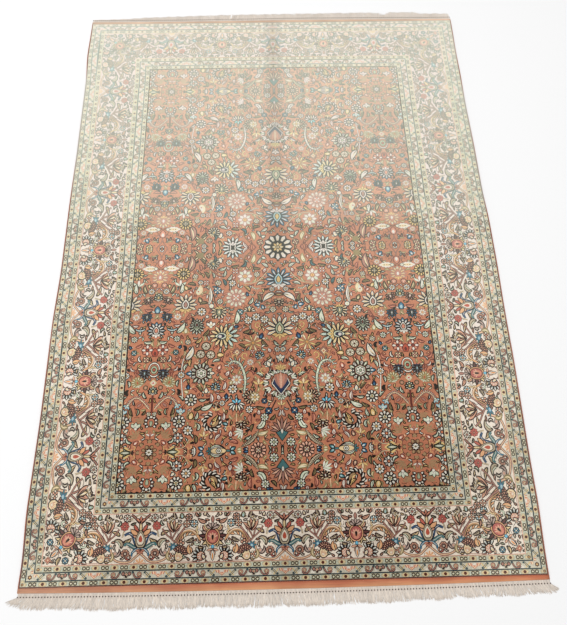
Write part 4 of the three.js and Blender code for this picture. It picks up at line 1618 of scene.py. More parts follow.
def field_shapes():
    """The right half of the field's near half: its drawn part and the copies mirrored past its edges."""
    drawn = []
    for width, tone, line in STALKS:
        drawn += edged_ribbon(line, width, tone, "dark", rim=0.7)
    for row in FIELD:
        drawn += motif(*row)
    everywhere = []
    for flip_x, flip_y, about_x, about_y in ((1, 0, CELL_X, 0), (0, 1, 0, CELL_Y), (1, 1, CELL_X, CELL_Y),
                                             (1, 0, 0, 0), (0, 1, 0, 0)):
        everywhere.append(mirrored(drawn, flip_x, flip_y, about_x, about_y))
    cell = (0, CELL_Y, CELL_X, 0)
    fillers = with_fillers(drawn + [s for copy in everywhere for s in copy], cell, FIELD_FILLERS, seed=7)
    shapes = fillers[:]
    for flip_x, flip_y in ((1, 0), (0, 1), (1, 1)):
        shapes += mirrored(fillers, flip_x, flip_y, CELL_X, CELL_Y)
    for i, shape in enumerate(drawn):
        shapes.append(shape)
        shapes += [copy[i] for copy in everywhere]
    return [(outline, tone, ()) for outline, tone in shapes]


def clip_box(x0, y0, x1, y1):
    """Half planes a x + b y <= c that bound a box."""
    return ((-1, 0, -x0), (1, 0, x1), (0, -1, -y0), (0, 1, y1))


def side_clip(side, inner, outer, low, high):
    """The box between two distances from the middle line, on one side of it."""
    left, right = sorted((side * inner, side * outer))
    return clip_box(left, low, right, high)


def half_unit(length):
    """Main border between a lotus and a palmette, without those two. Length is added in its middle."""
    shapes = []
    for row in BORDER_HALF:
        shapes += motif(*row)
    big = blue_lotus() + place(red_palmette(), END_UNIT, 0)
    shapes = with_fillers(shapes + big, (0, -55, END_UNIT, 55), BORDER_FILLERS, seed=3) + shapes
    extra = length - END_UNIT

    def stretched(u):
        """A place along the unit, moved on by its share of the extra length."""
        t = min(max((u - 40) / 60, 0), 1)
        return u + extra * t * t * (3 - 2 * t)

    return [([(stretched(u), v) for u, v in outline], tone) for outline, tone in shapes]


def laid(shapes, start, along, inward, clip):
    """Shapes of a border unit laid from a start point in a direction, within a clip."""
    out = []
    for outline, tone in shapes:
        points = [(start[0] + u * along[0] + v * inward[0], start[1] + u * along[1] + v * inward[1])
                  for u, v in outline]
        out.append((points, tone, clip))
    return out


def guard_stripe(inset, half_height, cell, natural):
    """One guard stripe along the near end and up both sides, in cells, with a rosette at each corner."""
    x = HALF_WIDTH - inset
    y = HALF_LENGTH - inset
    drawn = cell()
    shapes = []
    for reach, along_end in ((x, True), (y, False)):
        cells = 2 * round(reach / natural / 2)
        size = reach / cells
        stretch = size / natural
        for i in range(cells):
            at_even = i % 2 == 0
            foot = (i if at_even else i + 1) * size
            sense = stretch if at_even else -stretch
            for side in (-1, 1):
                if along_end:
                    limits = clip_box(-x + half_height, -y - half_height, x - half_height,
                                      -y + half_height)
                    shapes += laid(drawn, (side * foot, -y), (side * sense, 0), (0, 1), limits)
                else:
                    middle = side * x
                    limits = clip_box(middle - half_height, -y + half_height, middle + half_height,
                                      PAST_MIDDLE)
                    shapes += laid(drawn, (middle, -foot), (0, -sense), (-side, 0), limits)
    for side in (-1, 1):
        shapes.append((turned(lobed(half_height * 0.72, 6, 0.2), 0, side * x, -y), "wine", ()))
        shapes.append((turned(disc(half_height * 0.3), 0, side * x, -y), "gold", ()))
    return shapes


def main_border():
    """The main border's near half: the end, both corners, and the sides up to the rug's middle line."""
    outer = HALF_WIDTH - BORDER_MIDDLE + BORDER_REACH
    inner = HALF_WIDTH - BORDER_MIDDLE - BORDER_REACH
    middle_x = HALF_WIDTH - BORDER_MIDDLE
    middle_y = -(HALF_LENGTH - BORDER_MIDDLE)
    low = middle_y - BORDER_REACH
    high = middle_y + BORDER_REACH
    end_clip = clip_box(-inner, low, inner, high)
    end_half = half_unit(END_UNIT)
    side_half = half_unit(SIDE_UNIT)
    lotus_shapes = blue_lotus()
    red_shapes = red_palmette()
    shapes = []
    for side in (-1, 1):
        for start, sense in ((0, 1), (2 * END_UNIT, -1), (2 * END_UNIT, 1)):
            shapes += laid(end_half, (side * start, middle_y), (side * sense, 0), (0, 1), end_clip)
        upright = side_clip(side, inner, outer, high, PAST_MIDDLE)
        for start in (-SIDE_UNIT, -3 * SIDE_UNIT):
            for sense in (1, -1):
                shapes += laid(side_half, (side * middle_x, start), (0, sense), (-side, 0), upright)

        # corner square: the end's unit on one side of the diagonal, and its mirror image on the other
        square = side_clip(side, inner, outer, low, high)
        across = (side, 1, middle_x + middle_y)
        shapes.append(([(side * inner, high), (side * outer, low), (side * inner, low)], None, ()))
        shapes += laid(end_half, (side * 2 * END_UNIT, middle_y), (side, 0), (0, 1), square + (across,))
        back = tuple(-k for k in across)
        shapes += laid(end_half, (side * middle_x, middle_y + END_UNIT), (0, -1), (-side, 0),
                       square + (back,))
        corner = []
        for row in CORNER:
            corner += motif(*row)
        corner += place(red_shapes, middle_x, middle_y, 45)
        hidden = [(outline, tone) for outline, tone, _ in
                  laid(end_half, (2 * END_UNIT, middle_y), (1, 0), (0, 1), ())
                  + laid(end_half, (middle_x, middle_y + END_UNIT), (0, -1), (-1, 0), ())]
        corner = with_fillers(corner + hidden, (inner, low, outer, high), BORDER_FILLERS, seed=5) + corner
        if side < 0:
            corner = mirrored(corner, 1, 0)
        shapes += [(outline, tone, square) for outline, tone in corner]

    for x, drawn in ((0, lotus_shapes), (END_UNIT, red_shapes), (-END_UNIT, red_shapes),
                     (2 * END_UNIT, lotus_shapes), (-2 * END_UNIT, lotus_shapes)):
        shapes += laid(drawn, (x, middle_y), (1, 0), (0, 1), end_clip)
    for side in (-1, 1):
        upright = side_clip(side, inner, outer, high, 2 * PAST_MIDDLE)
        for k, drawn in enumerate((red_shapes, lotus_shapes, red_shapes, lotus_shapes)):
            shapes += laid(drawn, (side * middle_x, -k * SIDE_UNIT), (0, 1), (-side, 0), upright)
    return shapes


def border_shapes():
    """The border's near half, from end to end and up both sides to the rug's middle line."""
    shapes = []
    for inset, tone in STRIPES:
        x = HALF_WIDTH - inset
        y = HALF_LENGTH - inset
        shapes.append(([(-x, -y), (x, -y), (x, PAST_MIDDLE), (-x, PAST_MIDDLE)], tone, ()))
    for row in GUARDS:
        shapes += guard_stripe(*row)
    return shapes + main_border()


# The rug's own shape, the same as its solids have

# How far each side stands outside a straight one, side cord included. Columns: along, left, right
SIDE_BOWS = np.array([
    (-911, 5.0, 2.7), (-856, 3.0, 3.7), (-747, 8.5, 8.1), (-629, 6.8, 7.6), (-510, 4.9, 9.8),
    (-364, 5.6, 12.1), (-219, 6.4, 11.7), (-73, 1.4, 14.2), (91, 2.1, 13.9), (182, 2.5, 9.2),
    (364, 0.1, 8.6), (547, 0.8, 4.8), (656, 1.2, 6.1), (765, 8.4, 4.0), (875, 5.5, 5.4), (911, 5.0, 5.0),
])

# Fold marks: direction, place on the other axis, height, spread
FOLDS = (
    ("along", 0, -1.3, 9), ("along", -30, 0.5, 22), ("along", 30, 0.5, 22),
    ("across", 96, 1.2, 20), ("across", -232, 0.7, 26), ("across", 455, 0.5, 30),
)

# Slow unevenness of the face. Columns: waves across per metre, waves along per metre, height, phase
WAVES = ((2.1, 0.9, 0.30, 0.4), (0.8, 2.6, 0.35, 2.0), (3.7, 1.7, 0.18, 4.1), (1.6, 4.4, 0.20, 1.1),
         (5.9, 3.1, 0.10, 5.2), (2.9, 6.3, 0.10, 3.3))

CAD_LEFT = pile_low.x / MM
NEAR_FULL = 5.2             # how much wider the near end band is in its middle
NEAR_EASE = 1.6
FAR_WAVE = 1.4              # how far the far end band's edge waves
FAR_EASE = 1.0
RIM_ROUND = 1.1             # how far the pile's rim is rounded down


def bow(y, side):
    """How far the side stands out at y, eased between the rows of the table."""
    column = 1 if side < 0 else 2
    y = np.asarray(y, float)
    return sum(np.interp(y + off, SIDE_BOWS[:, 0], SIDE_BOWS[:, column]) for off in (-24, -8, 8, 24)) / 4


SHIFT_X = CAD_LEFT + HALF_WIDTH + max(bow(SIDE_BOWS[:, 0], -1)) - SIDE_CORD - SEAM


def edge_x(y, side, inset=0.0):
    """The rug's side at y, or a line inside it."""
    return side * (HALF_WIDTH + bow(y, side) - inset)


def kilim_edge(end, x):
    """Outer edge of each end band; the near one is fuller in the middle, the far one waves a little."""
    share = np.asarray(x, float) / HALF_WIDTH
    if end < 0:
        return -(HALF_LENGTH + KILIM + NEAR_FULL * (1 - share * share) - NEAR_EASE)
    return HALF_LENGTH + KILIM + FAR_WAVE * np.sin(4.1 * share + 0.7) - FAR_EASE


def face_lift(x, y):
    """Height of the face above its even height: fold marks, slow unevenness and rounded rims."""
    lift = np.zeros_like(x)
    for direction, at, height, spread in FOLDS:
        off = (x if direction == "along" else y) - at
        lift += height * np.exp(-((off / spread) ** 2))
    for across, along, height, phase in WAVES:
        lift += height * np.sin(2 * math.pi * (across * x + along * y) * MM + phase)
    rim = np.minimum(HALF_WIDTH - np.abs(x), HALF_LENGTH - np.abs(y))
    lift -= RIM_ROUND * (1 - np.clip(rim / PLUM, 0, 1))
    return lift


def on_rug(x, y):
    """Blender's x and y, in metres, of pattern places; the pattern widens with the sides' bow."""
    left = HALF_WIDTH + bow(y, -1) - SIDE_CORD - SEAM
    right = HALF_WIDTH + bow(y, 1) - SIDE_CORD - SEAM
    warped = np.where(x < 0, x * left, x * right) / HALF_WIDTH
    return (warped + SHIFT_X) * MM, (y + SHIFT_Y) * MM


# Meshes

def linked(name, data):
    """A new object in the scene."""
    thing = bpy.data.objects.new(name, data)
    bpy.context.scene.collection.objects.link(thing)
    return thing


def new_piece(name, points, faces, material, smooth=False):
    """A mesh of faces that all have as many corners, riding on the rug's root with its colour slot."""
    mesh = bpy.data.meshes.new(name)
    points = np.asarray(points, np.float32)
    faces = np.asarray(faces, np.int32)
    corners = faces.shape[1]
    mesh.vertices.add(len(points))
    mesh.vertices.foreach_set("co", points.ravel())
    mesh.loops.add(faces.size)
    mesh.loops.foreach_set("vertex_index", faces.ravel())
    mesh.polygons.add(len(faces))
    mesh.polygons.foreach_set("loop_start", np.arange(0, faces.size, corners, dtype=np.int32))
    mesh.polygons.foreach_set("use_smooth", np.full(len(faces), smooth))
    mesh.update(calc_edges=True)
    mesh.materials.append(material)
    piece = linked(name, mesh)
    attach(piece, "root")
    return piece


def linear(rgb):
    """Linear light of a colour given up to 255."""
    share = np.asarray(rgb, float) / 255
    return np.where(share < 0.04045, share / 12.92, ((share + 0.055) / 1.055) ** 2.4)


YARNS = linear(list(TONES.values()))


def yarn_tone(name):
    """Linear light of one yarn."""
    return YARNS[list(TONES).index(name)]


def welded(part, flips):
    """A partition and its mirrored copies as one set of corners, triangles and tones."""
    corners, triangles, tones = part
    flat = np.concatenate([corners * flip for flip in flips])
    copies = []
    for i, (sx, sy) in enumerate(flips):
        copies.append((triangles if sx * sy > 0 else triangles[:, ::-1]) + i * len(corners))
    faces = np.concatenate(copies)
    tones = np.tile(tones, len(flips))
    _, first, back = np.unique(np.round(flat, 2), axis=0, return_index=True, return_inverse=True)
    faces = back.ravel()[faces]
    flat = flat[first]
    whole = (faces[:, 0] != faces[:, 1]) & (faces[:, 1] != faces[:, 2]) & (faces[:, 2] != faces[:, 0])
    faces = faces[whole]
    tones = tones[whole]
    used, back = np.unique(faces, return_inverse=True)
    return flat[used], back.reshape(faces.shape), tones


def open_rim(faces, count):
    """Directed edges that no other triangle runs the other way, and the triangle that each belongs to."""
    directed = np.concatenate([faces[:, (0, 1)], faces[:, (1, 2)], faces[:, (2, 0)]])
    owner = np.tile(np.arange(len(faces)), 3)
    forward = directed[:, 0].astype(np.int64) * count + directed[:, 1]
    backward = directed[:, 1].astype(np.int64) * count + directed[:, 0]
    rim = ~np.isin(forward, backward)
    return directed[rim], owner[rim]


def pile_piece(name, part, flips, material):
    """A closed stretch of pile from a partition and its mirrored copies."""
    flat, faces, tones = welded(part, flips)
    rim_edges, rim_owner = open_rim(faces, len(flat))
    rim_points, rim_back = np.unique(rim_edges, return_inverse=True)
    rim_back = rim_back.reshape(rim_edges.shape)
    low_faces = cut_inside(flat[rim_points], rim_back)

    x, y = on_rug(flat[:, 0], flat[:, 1])
    z = (PILE_TOP + face_lift(flat[:, 0], flat[:, 1])) * MM
    top = np.c_[x, y, z]
    low = top[rim_points].copy()
    low[:, 2] = PILE_FOOT * MM
    count = len(top)
    a, b = rim_edges.T
    low_a, low_b = rim_back.T + count
    walls = np.concatenate([np.c_[b, a, low_a], np.c_[b, low_a, low_b]])
    floor = low_faces[:, ::-1] + count
    colours = YARNS[tones]
    walls_colours = np.tile(colours[rim_owner], (2, 1))
    floor_colours = np.tile(yarn_tone("warp"), (len(floor), 1))
    piece = new_piece(name, np.concatenate([top, low]), np.concatenate([faces, walls, floor]), material)
    painted(piece, np.concatenate([colours, walls_colours, floor_colours]))
    return piece


def cut_inside(points, edges):
    """Triangles inside a rim of edges, on the rim's own points."""
    corners = [Vector(p) for p in points.tolist()]
    _, _, faces, origin, _, _ = delaunay_2d_cdt(corners, edges.tolist(), [], 1, 1e-6, True)
    old = np.array([ids[0] if ids else -1 for ids in origin])
    faces = old[np.array(faces)]
    return faces[(faces >= 0).all(1)]


def grid_faces(rows, columns):
    """Quads of a grid of points, row after row."""
    faces = []
    for i in range(rows - 1):
        for j in range(columns - 1):
            a = i * columns + j
            faces.append((a, a + 1, a + 1 + columns, a + columns))
    return faces


# Materials

class Graph:
    """A material and its node tree, with a short call for each kind of node in use. Colours and values
    go in and out as sockets."""

    def __init__(self, name, roughness, sheen, sheen_tint=(1, 1, 1, 1), specular=0.3):
        """A new material with its shader's even values."""
        self.material = bpy.data.materials.new(name)
        self.material.use_nodes = True
        self.nodes = self.material.node_tree.nodes
        self.links = self.material.node_tree.links
        self.shader = self.nodes["Principled BSDF"]
        for key, value in (("Roughness", roughness), ("Sheen Weight", sheen), ("Sheen Roughness", 0.4),
                           ("Sheen Tint", sheen_tint), ("Specular IOR Level", specular)):
            self.shader.inputs[key].default_value = value

    def place(self):
        """Places on the object, in metres."""
        return self.nodes.new("ShaderNodeTexCoord").outputs["Object"]

    def split(self, vector):
        """Outputs X, Y and Z of a vector or a colour."""
        node = self.nodes.new("ShaderNodeSeparateXYZ")
        self.links.new(vector, node.inputs[0])
        return node.outputs

    def face_tone(self):
        """The yarn's own colour, from the attribute tone."""
        node = self.nodes.new("ShaderNodeAttribute")
        node.attribute_name = "tone"
        return node.outputs["Color"]

    def even(self, colour):
        """A colour as a socket, given in linear light."""
        node = self.nodes.new("ShaderNodeRGB")
        node.outputs[0].default_value = tuple(colour) + (1.0,)
        return node.outputs[0]

    def noise(self, place, scale, detail=2.0, stretch=None):
        """Noise texture over object places; stretch scales the axes apart."""
        texture = self.nodes.new("ShaderNodeTexNoise")
        texture.inputs["Scale"].default_value = scale
        texture.inputs["Detail"].default_value = detail
        if stretch:
            mapping = self.nodes.new("ShaderNodeMapping")
            mapping.inputs["Scale"].default_value = stretch
            self.links.new(place, mapping.inputs["Vector"])
            place = mapping.outputs["Vector"]
        self.links.new(place, texture.inputs["Vector"])
        return texture.outputs["Fac"]

    def ranged(self, value, low, high, from_low=0.0, from_high=1.0, smooth=False):
        """A value mapped from one range to another and held at its ends."""
        node = self.nodes.new("ShaderNodeMapRange")
        node.interpolation_type = "SMOOTHSTEP" if smooth else "LINEAR"
        for key, limit in (("From Min", from_low), ("From Max", from_high), ("To Min", low),
                           ("To Max", high)):
            node.inputs[key].default_value = limit
        self.links.new(value, node.inputs["Value"])
        return node.outputs["Result"]

    def feed(self, sockets, values):
        """Sets each socket to its number or tuple, or links it to its socket."""
        for socket, value in zip(sockets, values):
            if isinstance(value, (int, float, tuple)):
                socket.default_value = value
            else:
                self.links.new(value, socket)

    def maths(self, operation, *values):
        """A sum of one or two values."""
        node = self.nodes.new("ShaderNodeMath")
        node.operation = operation
        self.feed(node.inputs, values)
        return node.outputs["Value"]

    def product(self, *values):
        """The product of two or more values."""
        out = values[0]
        for value in values[1:]:
            out = self.maths("MULTIPLY", out, value)
        return out

    def scaled(self, colour, factor):
        """A colour made lighter or darker by a value."""
        node = self.nodes.new("ShaderNodeVectorMath")
        node.operation = "SCALE"
        self.links.new(colour, node.inputs[0])
        self.links.new(factor, node.inputs["Scale"])
        return node.outputs["Vector"]

    def combined(self, operation, a, b):
        """Two colours joined by a vector operation."""
        node = self.nodes.new("ShaderNodeVectorMath")
        node.operation = operation
        self.feed(node.inputs, (a, b))
        return node.outputs["Vector"]

    def mixed(self, a, b, factor):
        """A mix of two colours; the factor is the second one's share."""
        node = self.nodes.new("ShaderNodeMix")
        node.data_type = "RGBA"
        sockets = [socket for socket in node.inputs if socket.type == "RGBA"]
        self.feed(sockets, (a, b))
        self.links.new(factor, node.inputs["Factor"])
        return [socket for socket in node.outputs if socket.type == "RGBA"][0]

    def along_curve(self, along, rows, full):
        """A value that changes along the rug by a table of places and values up to full."""
        node = self.nodes.new("ShaderNodeFloatCurve")
        curve = node.mapping.curves[0]
        points = [((where + PAINTED_LIGHT_REACH) / (2 * PAINTED_LIGHT_REACH), value / full) for where, value in rows]
        curve.points[0].location = points[0]
        curve.points[-1].location = points[-1]
        for point in points[1:-1]:
            curve.points.new(*point)
        for point in curve.points:
            point.handle_type = "VECTOR"
        node.mapping.update()
        self.links.new(self.ranged(along, 0.0, 1.0, -PAINTED_LIGHT_REACH, PAINTED_LIGHT_REACH), node.inputs["Value"])
        return self.product(node.outputs["Value"], full)

    def finish(self, colour, height, strength, distance):
        """Feeds the shader its colour and its bumps, and gives the material."""
        node = self.nodes.new("ShaderNodeBump")
        node.inputs["Strength"].default_value = strength
        node.inputs["Distance"].default_value = distance
        self.links.new(height, node.inputs["Height"])
        self.links.new(node.outputs["Normal"], self.shader.inputs["Normal"])
        self.links.new(colour, self.shader.inputs["Base Color"])
        return self.material


NOISE = (0.3, 0.7)          # the part of its range that a noise mostly keeps to

# The silk's nap leans to the near end, so the far part gives back more light. This sheen is painted into
# the colour by place on the rug: a gain on the yarn's colour, a painted pale glare over it, and a gain
# more for the sides; where the gain is below one it is painted shade. Columns: metres along, gain, glare,
# sides' gain
PAINTED_NAP_LIGHT = (
    (-0.92, 0.89, 0.00, 0.34), (-0.74, 0.93, 0.00, 0.28), (-0.66, 0.99, 0.00, 0.16),
    (-0.50, 1.06, 0.005, 0.16), (-0.40, 1.12, 0.015, 0.20), (-0.25, 1.16, 0.03, 0.11),
    (-0.215, 1.18, 0.055, 0.10), (-0.08, 1.20, 0.105, 0.06), (0.0, 1.19, 0.135, 0.04),
    (0.085, 1.15, 0.175, 0.0), (0.105, 1.12, 0.25, -0.06), (0.20, 1.12, 0.30, -0.10),
    (0.55, 0.95, 0.45, -0.10), (0.92, 0.86, 0.54, -0.06),
)
PAINTED_LIGHT_REACH = 0.92            # the table's last place, to both ends
GAIN_FULL = 1.5             # the largest gain that the curve can hold
SIDE_OFFSET = 0.5           # added to the sides' gain, because a curve holds no negative values
SIDE_PAINTED_SHADE = 0.08            # painted shade, taken off the whole of the sides
# pale glare painted over the sides
SIDE_PAINTED_GLARE = 0.055
SIDE_PAINTED_SHEEN_ZONE = (0.34, 0.60)    # from the middle line, in metres: where the sides' painted sheen sets in and is full
PAINTED_GLARE_TINT = (0.78, 0.83, 0.70)  # colour of the painted glare, in linear light
# the lightest that the painted sheen and glare may make the pile
LIGHTEST = (0.83, 0.745, 0.672)
KNOT = 1.8 * MM
# Painted shadow in the middle fold: the pile's colour is darkened by this factor along the middle line
FOLD_SHADE = 0.82
FOLD_ZONE = (0.004, 0.040)  # metres beside the middle fold: where the painted shadow is full, and where it has faded out


def silk_material():
    """Silk knots, each of its own shade, with painted sheen and shade of the nap along and across the rug,
    and a painted shadow in the middle fold.
    """
    graph = Graph("silk_pile", 0.6, 0.04, (1.0, 0.95, 0.9, 1), 0.08)
    where = graph.place()
    tone = graph.face_tone()
    knots = graph.nodes.new("ShaderNodeTexVoronoi")
    knots.inputs["Scale"].default_value = 1 / KNOT
    knots.inputs["Randomness"].default_value = 0.35
    graph.links.new(where, knots.inputs["Vector"])
    per_knot = graph.ranged(graph.split(knots.outputs["Color"])["X"], 0.80, 1.16)
    clouds = graph.ranged(graph.noise(where, 7.0, 3.0), 0.86, 1.12, *NOISE)
    rows = graph.ranged(graph.noise(where, 60.0, 2.0, (0.12, 1.6, 1)), 0.95, 1.05, *NOISE)
    colour = graph.scaled(tone, graph.product(per_knot, clouds, rows))

    # Painted sheen and shade of the nap, by place: a gain and a pale glare along the rug, and more of both
    # at the sides
    axes = graph.split(where)
    wander = graph.ranged(graph.noise(where, 5.0, 3.0), -0.03, 0.03)
    along = graph.maths("ADD", axes["Y"], wander)
    painted_gain = graph.along_curve(along, [(row[0], row[1]) for row in PAINTED_NAP_LIGHT], GAIN_FULL)
    painted_glare = graph.along_curve(along, [(row[0], row[2]) for row in PAINTED_NAP_LIGHT], 1.0)
    sides = graph.along_curve(along, [(row[0], row[3] + SIDE_OFFSET) for row in PAINTED_NAP_LIGHT], 1.0)
    off = graph.maths("ABSOLUTE", graph.maths("SUBTRACT", axes["X"], SHIFT_X * MM))
    painted_side_mask = graph.ranged(off, 0.0, 1.0, *SIDE_PAINTED_SHEEN_ZONE, smooth=True)
    painted_side_gain = graph.product(graph.maths("SUBTRACT", sides, SIDE_OFFSET + SIDE_PAINTED_SHADE), painted_side_mask)
    painted_gain = graph.product(painted_gain, graph.maths("ADD", painted_side_gain, 1.0))
    painted_glare = graph.maths("ADD", painted_glare, graph.product(painted_side_mask, SIDE_PAINTED_GLARE))
    colour = graph.combined("ADD", graph.scaled(colour, painted_gain), graph.scaled(graph.even(PAINTED_GLARE_TINT), painted_glare))
    colour = graph.combined("MINIMUM", colour, LIGHTEST)
    # Painted shadow in the middle fold: darker within a few centimetres of the middle line
    colour = graph.scaled(colour, graph.ranged(off, FOLD_SHADE, 1.0, *FOLD_ZONE, smooth=True))
    return graph.finish(colour, knots.outputs["Distance"], 0.35, 0.0006)


def yarn_material(name, rgb, scale, stretch):
    """Cotton or silk yarn of one colour with fibre streaks."""
    graph = Graph(name, 0.8, 0.25)
    where = graph.place()
    fibres = graph.noise(where, scale, 4.0, stretch)
    clouds = graph.noise(where, 18.0, 3.0)
    light = graph.product(graph.ranged(fibres, 0.90, 1.10, *NOISE),
                          graph.ranged(clouds, 0.95, 1.05, *NOISE))
    return graph.finish(graph.scaled(graph.even(linear(rgb)), light), fibres, 0.4, 0.0004)


CORD_RED = (170, 108, 82)
KILIM_RED = (186, 108, 78)
KILIM_TAN = (206, 150, 108)
# paler colour painted over the left side of the end bands: painted sheen
KILIM_SIDE_SHEEN = (206, 166, 138)
# paler colour painted over the far end band: painted glare
KILIM_FAR_GLARE = (232, 210, 186)


def kilim_material():
    """The end bands' yarn: red beside the pile, tan at the fringe, with painted sheen that makes it paler
    to the left and lighter to the right, and painted glare that makes the far band paler.
    """
    graph = Graph("kilim_band", 0.75, 0.15)
    where = graph.place()
    axes = graph.split(where)
    red, tan, side_sheen, far_glare = [tuple(linear(rgb)) + (1.0,)
                               for rgb in (KILIM_RED, KILIM_TAN, KILIM_SIDE_SHEEN, KILIM_FAR_GLARE)]
    along = graph.maths("ABSOLUTE", graph.maths("SUBTRACT", axes["Y"], SHIFT_Y * MM))
    streaks = graph.noise(where, 260, 4.0, (0.06, 1, 1))
    clouds = graph.noise(where, 9.0, 3.0)
    along = graph.maths("ADD", along, graph.ranged(clouds, -0.005, 0.005, *NOISE))
    colour = graph.mixed(red, tan, graph.ranged(along, 0.0, 1.0, 0.914, 0.930))
    # Painted sheen: paler towards the left side
    colour = graph.mixed(colour, side_sheen, graph.ranged(axes["X"], 0.55, 0.0, -0.64, -0.20))
    # Painted glare: paler towards the far end
    colour = graph.mixed(colour, far_glare, graph.ranged(axes["Y"], 0.0, 0.72, 0.0, 0.9))
    # Fibre streaks and random clouds, and painted sheen that makes the band lighter towards the right side
    light = graph.product(graph.ranged(streaks, 0.88, 1.12, *NOISE),
                          graph.ranged(axes["X"], 0.92, 1.10, 0.2, 0.6),
                          graph.ranged(clouds, 0.90, 1.10, *NOISE))
    return graph.finish(graph.scaled(colour, light), streaks, 0.4, 0.0004)


def fringe_material():
    """Undyed warp yarn; each strand has its own shade, random and with painted shade on the lower strands.
    """
    graph = Graph("fringe_yarn", 0.85, 0.2)
    tone = graph.face_tone()
    fibres = graph.noise(graph.place(), 500, 3.0, (1, 0.2, 1))
    light = graph.ranged(fibres, 0.92, 1.08, *NOISE)
    return graph.finish(graph.scaled(tone, light), fibres, 0.3, 0.0003)


# Pieces

def make_pile(material):
    """The knotted face: four quarters of the field, two ends and two sides of the border."""
    field = partition(field_shapes(), (0, -FIELD_Y, FIELD_X, 0), "ground")
    border = border_shapes()
    end = partition(border, (-HALF_WIDTH, -HALF_LENGTH, HALF_WIDTH, -FIELD_Y), "borderground")
    side = partition(border, (FIELD_X, -FIELD_Y, HALF_WIDTH, 0), "borderground")
    pieces = []
    for name, flip in (("near_right", (1, 1)), ("near_left", (-1, 1)), ("far_right", (1, -1)),
                       ("far_left", (-1, -1))):
        pieces.append(pile_piece("pile_field_" + name, field, (flip,), material))
    pieces.append(pile_piece("pile_border_near", end, ((1, 1),), material))
    pieces.append(pile_piece("pile_border_far", end, ((1, -1),), material))
    pieces.append(pile_piece("pile_border_right", side, ((1, 1), (1, -1)), material))
    pieces.append(pile_piece("pile_border_left", side, ((-1, 1), (-1, -1)), material))
    return pieces


def make_ground(material):
    """The woven ground that carries the knots: a low slab with the rug's bowed sides."""
    rows = np.linspace(-HALF_LENGTH, HALF_LENGTH, 40)
    shares = np.linspace(-HALF_WIDTH, HALF_WIDTH, 21)
    grid_x, grid_y = np.meshgrid(shares, rows)
    x, y = on_rug(grid_x, grid_y)
    top = np.stack([x, y, np.full_like(x, GROUND_TOP * MM)], -1)
    return slab("ground_weave", top, material)


def tubes(sections):
    """Points and triangles of closed tubes. sections is tubes x rings x sides x 3."""
    count, rings, sides, _ = sections.shape
    faces = []
    for i in range(rings - 1):
        for j in range(sides):
            k = (j + 1) % sides
            a, b, c, d = i * sides + j, i * sides + k, (i + 1) * sides + k, (i + 1) * sides + j
            faces += [(a, b, c), (a, c, d)]
    last = (rings - 1) * sides
    for j in range(1, sides - 1):
        faces += [(0, j + 1, j), (last, last + j, last + j + 1)]
    faces = np.array(faces)
    all_faces = faces[None] + np.arange(count)[:, None, None] * rings * sides
    return sections.reshape(-1, 3), all_faces.reshape(-1, 3)


def painted(piece, face_colours):
    """Writes one colour for each face, in linear light."""
    corners = len(piece.data.loops) // len(piece.data.polygons)
    rgba = np.ones((len(piece.data.loops), 4), np.float32)
    rgba[:, :3] = np.repeat(face_colours, corners, axis=0)
    piece.data.attributes.new("tone", "FLOAT_COLOR", "CORNER").data.foreach_set("color", rgba.ravel())


# Free length of the fringe and its lean in degrees, along each end. Columns: across, length, lean
NEAR_FRINGE = np.array([
    (-640, 30, -52), (-600, 29, -34), (-540, 27, -22), (-470, 29, -14), (-400, 31, -6), (-330, 28, 4),
    (-250, 30, 8), (-180, 27, -4), (-100, 29, -8), (-20, 28, 6), (60, 30, 9), (150, 27, 3), (230, 28, 12),
    (296, 27, 16), (304, 14, 20), (312, 22, -8), (340, 27, 12), (390, 25, 20), (402, 9, 12),
    (412, 20, -14),
    (440, 26, 10), (476, 24, 20), (486, 13, 22), (494, 22, -4), (540, 24, 20), (600, 25, 32),
    (640, 24, 44),
])
FAR_FRINGE = np.array([
    (-640, 5, 30), (-570, 6, 20), (-510, 9, 10), (-440, 15, -8), (-350, 18, 6), (-250, 21, -6),
    (-160, 23, 5), (0, 23, -5), (160, 24, 7), (330, 26, -8), (378, 25, 10), (392, 13, 22), (404, 15, -22),
    (420, 27, -10), (505, 27, 8), (522, 19, 14), (580, 20, -4), (640, 18, -22),
])
LOCKS = 177                 # locks along an end
YARNS_PER_LOCK = 13
FRINGE_SPAN = 2 * (HALF_WIDTH + 2.5)
LOCK_PITCH = FRINGE_SPAN / LOCKS
KNOT_WIDTH = 0.88           # a lock's share of its pitch where it is tied
HEADING = 8.0               # from the end band to the row of dark dots of painted gap shade
HEADING_HIGH = 0.8
YARN_WIDE = 0.78            # half widths of a yarn: along it, where the lock is tied, and at its tip
YARN_TIED = 0.70
YARN_TIP = 0.35
YARN_HIGH = 0.52            # half its height
GAP_SHADE_RINGS = ((0.9, 0.2), (1.6, 1.2), (1.3, 2.4))     # radius and height of the dark dots of painted gap shade, from the foot up
RIBS = 13                   # of an end band
RIB_DEPTH = 0.32
WRAP = 4.2                  # one turn of the yarn round a side cord
CORD_MIDDLE = 1.85          # height of the cord's middle line, and half its thickness
CORD_HALF = 1.75
WRAP_WAIST = 0.82           # thickness between two wraps, as a share of the cord's


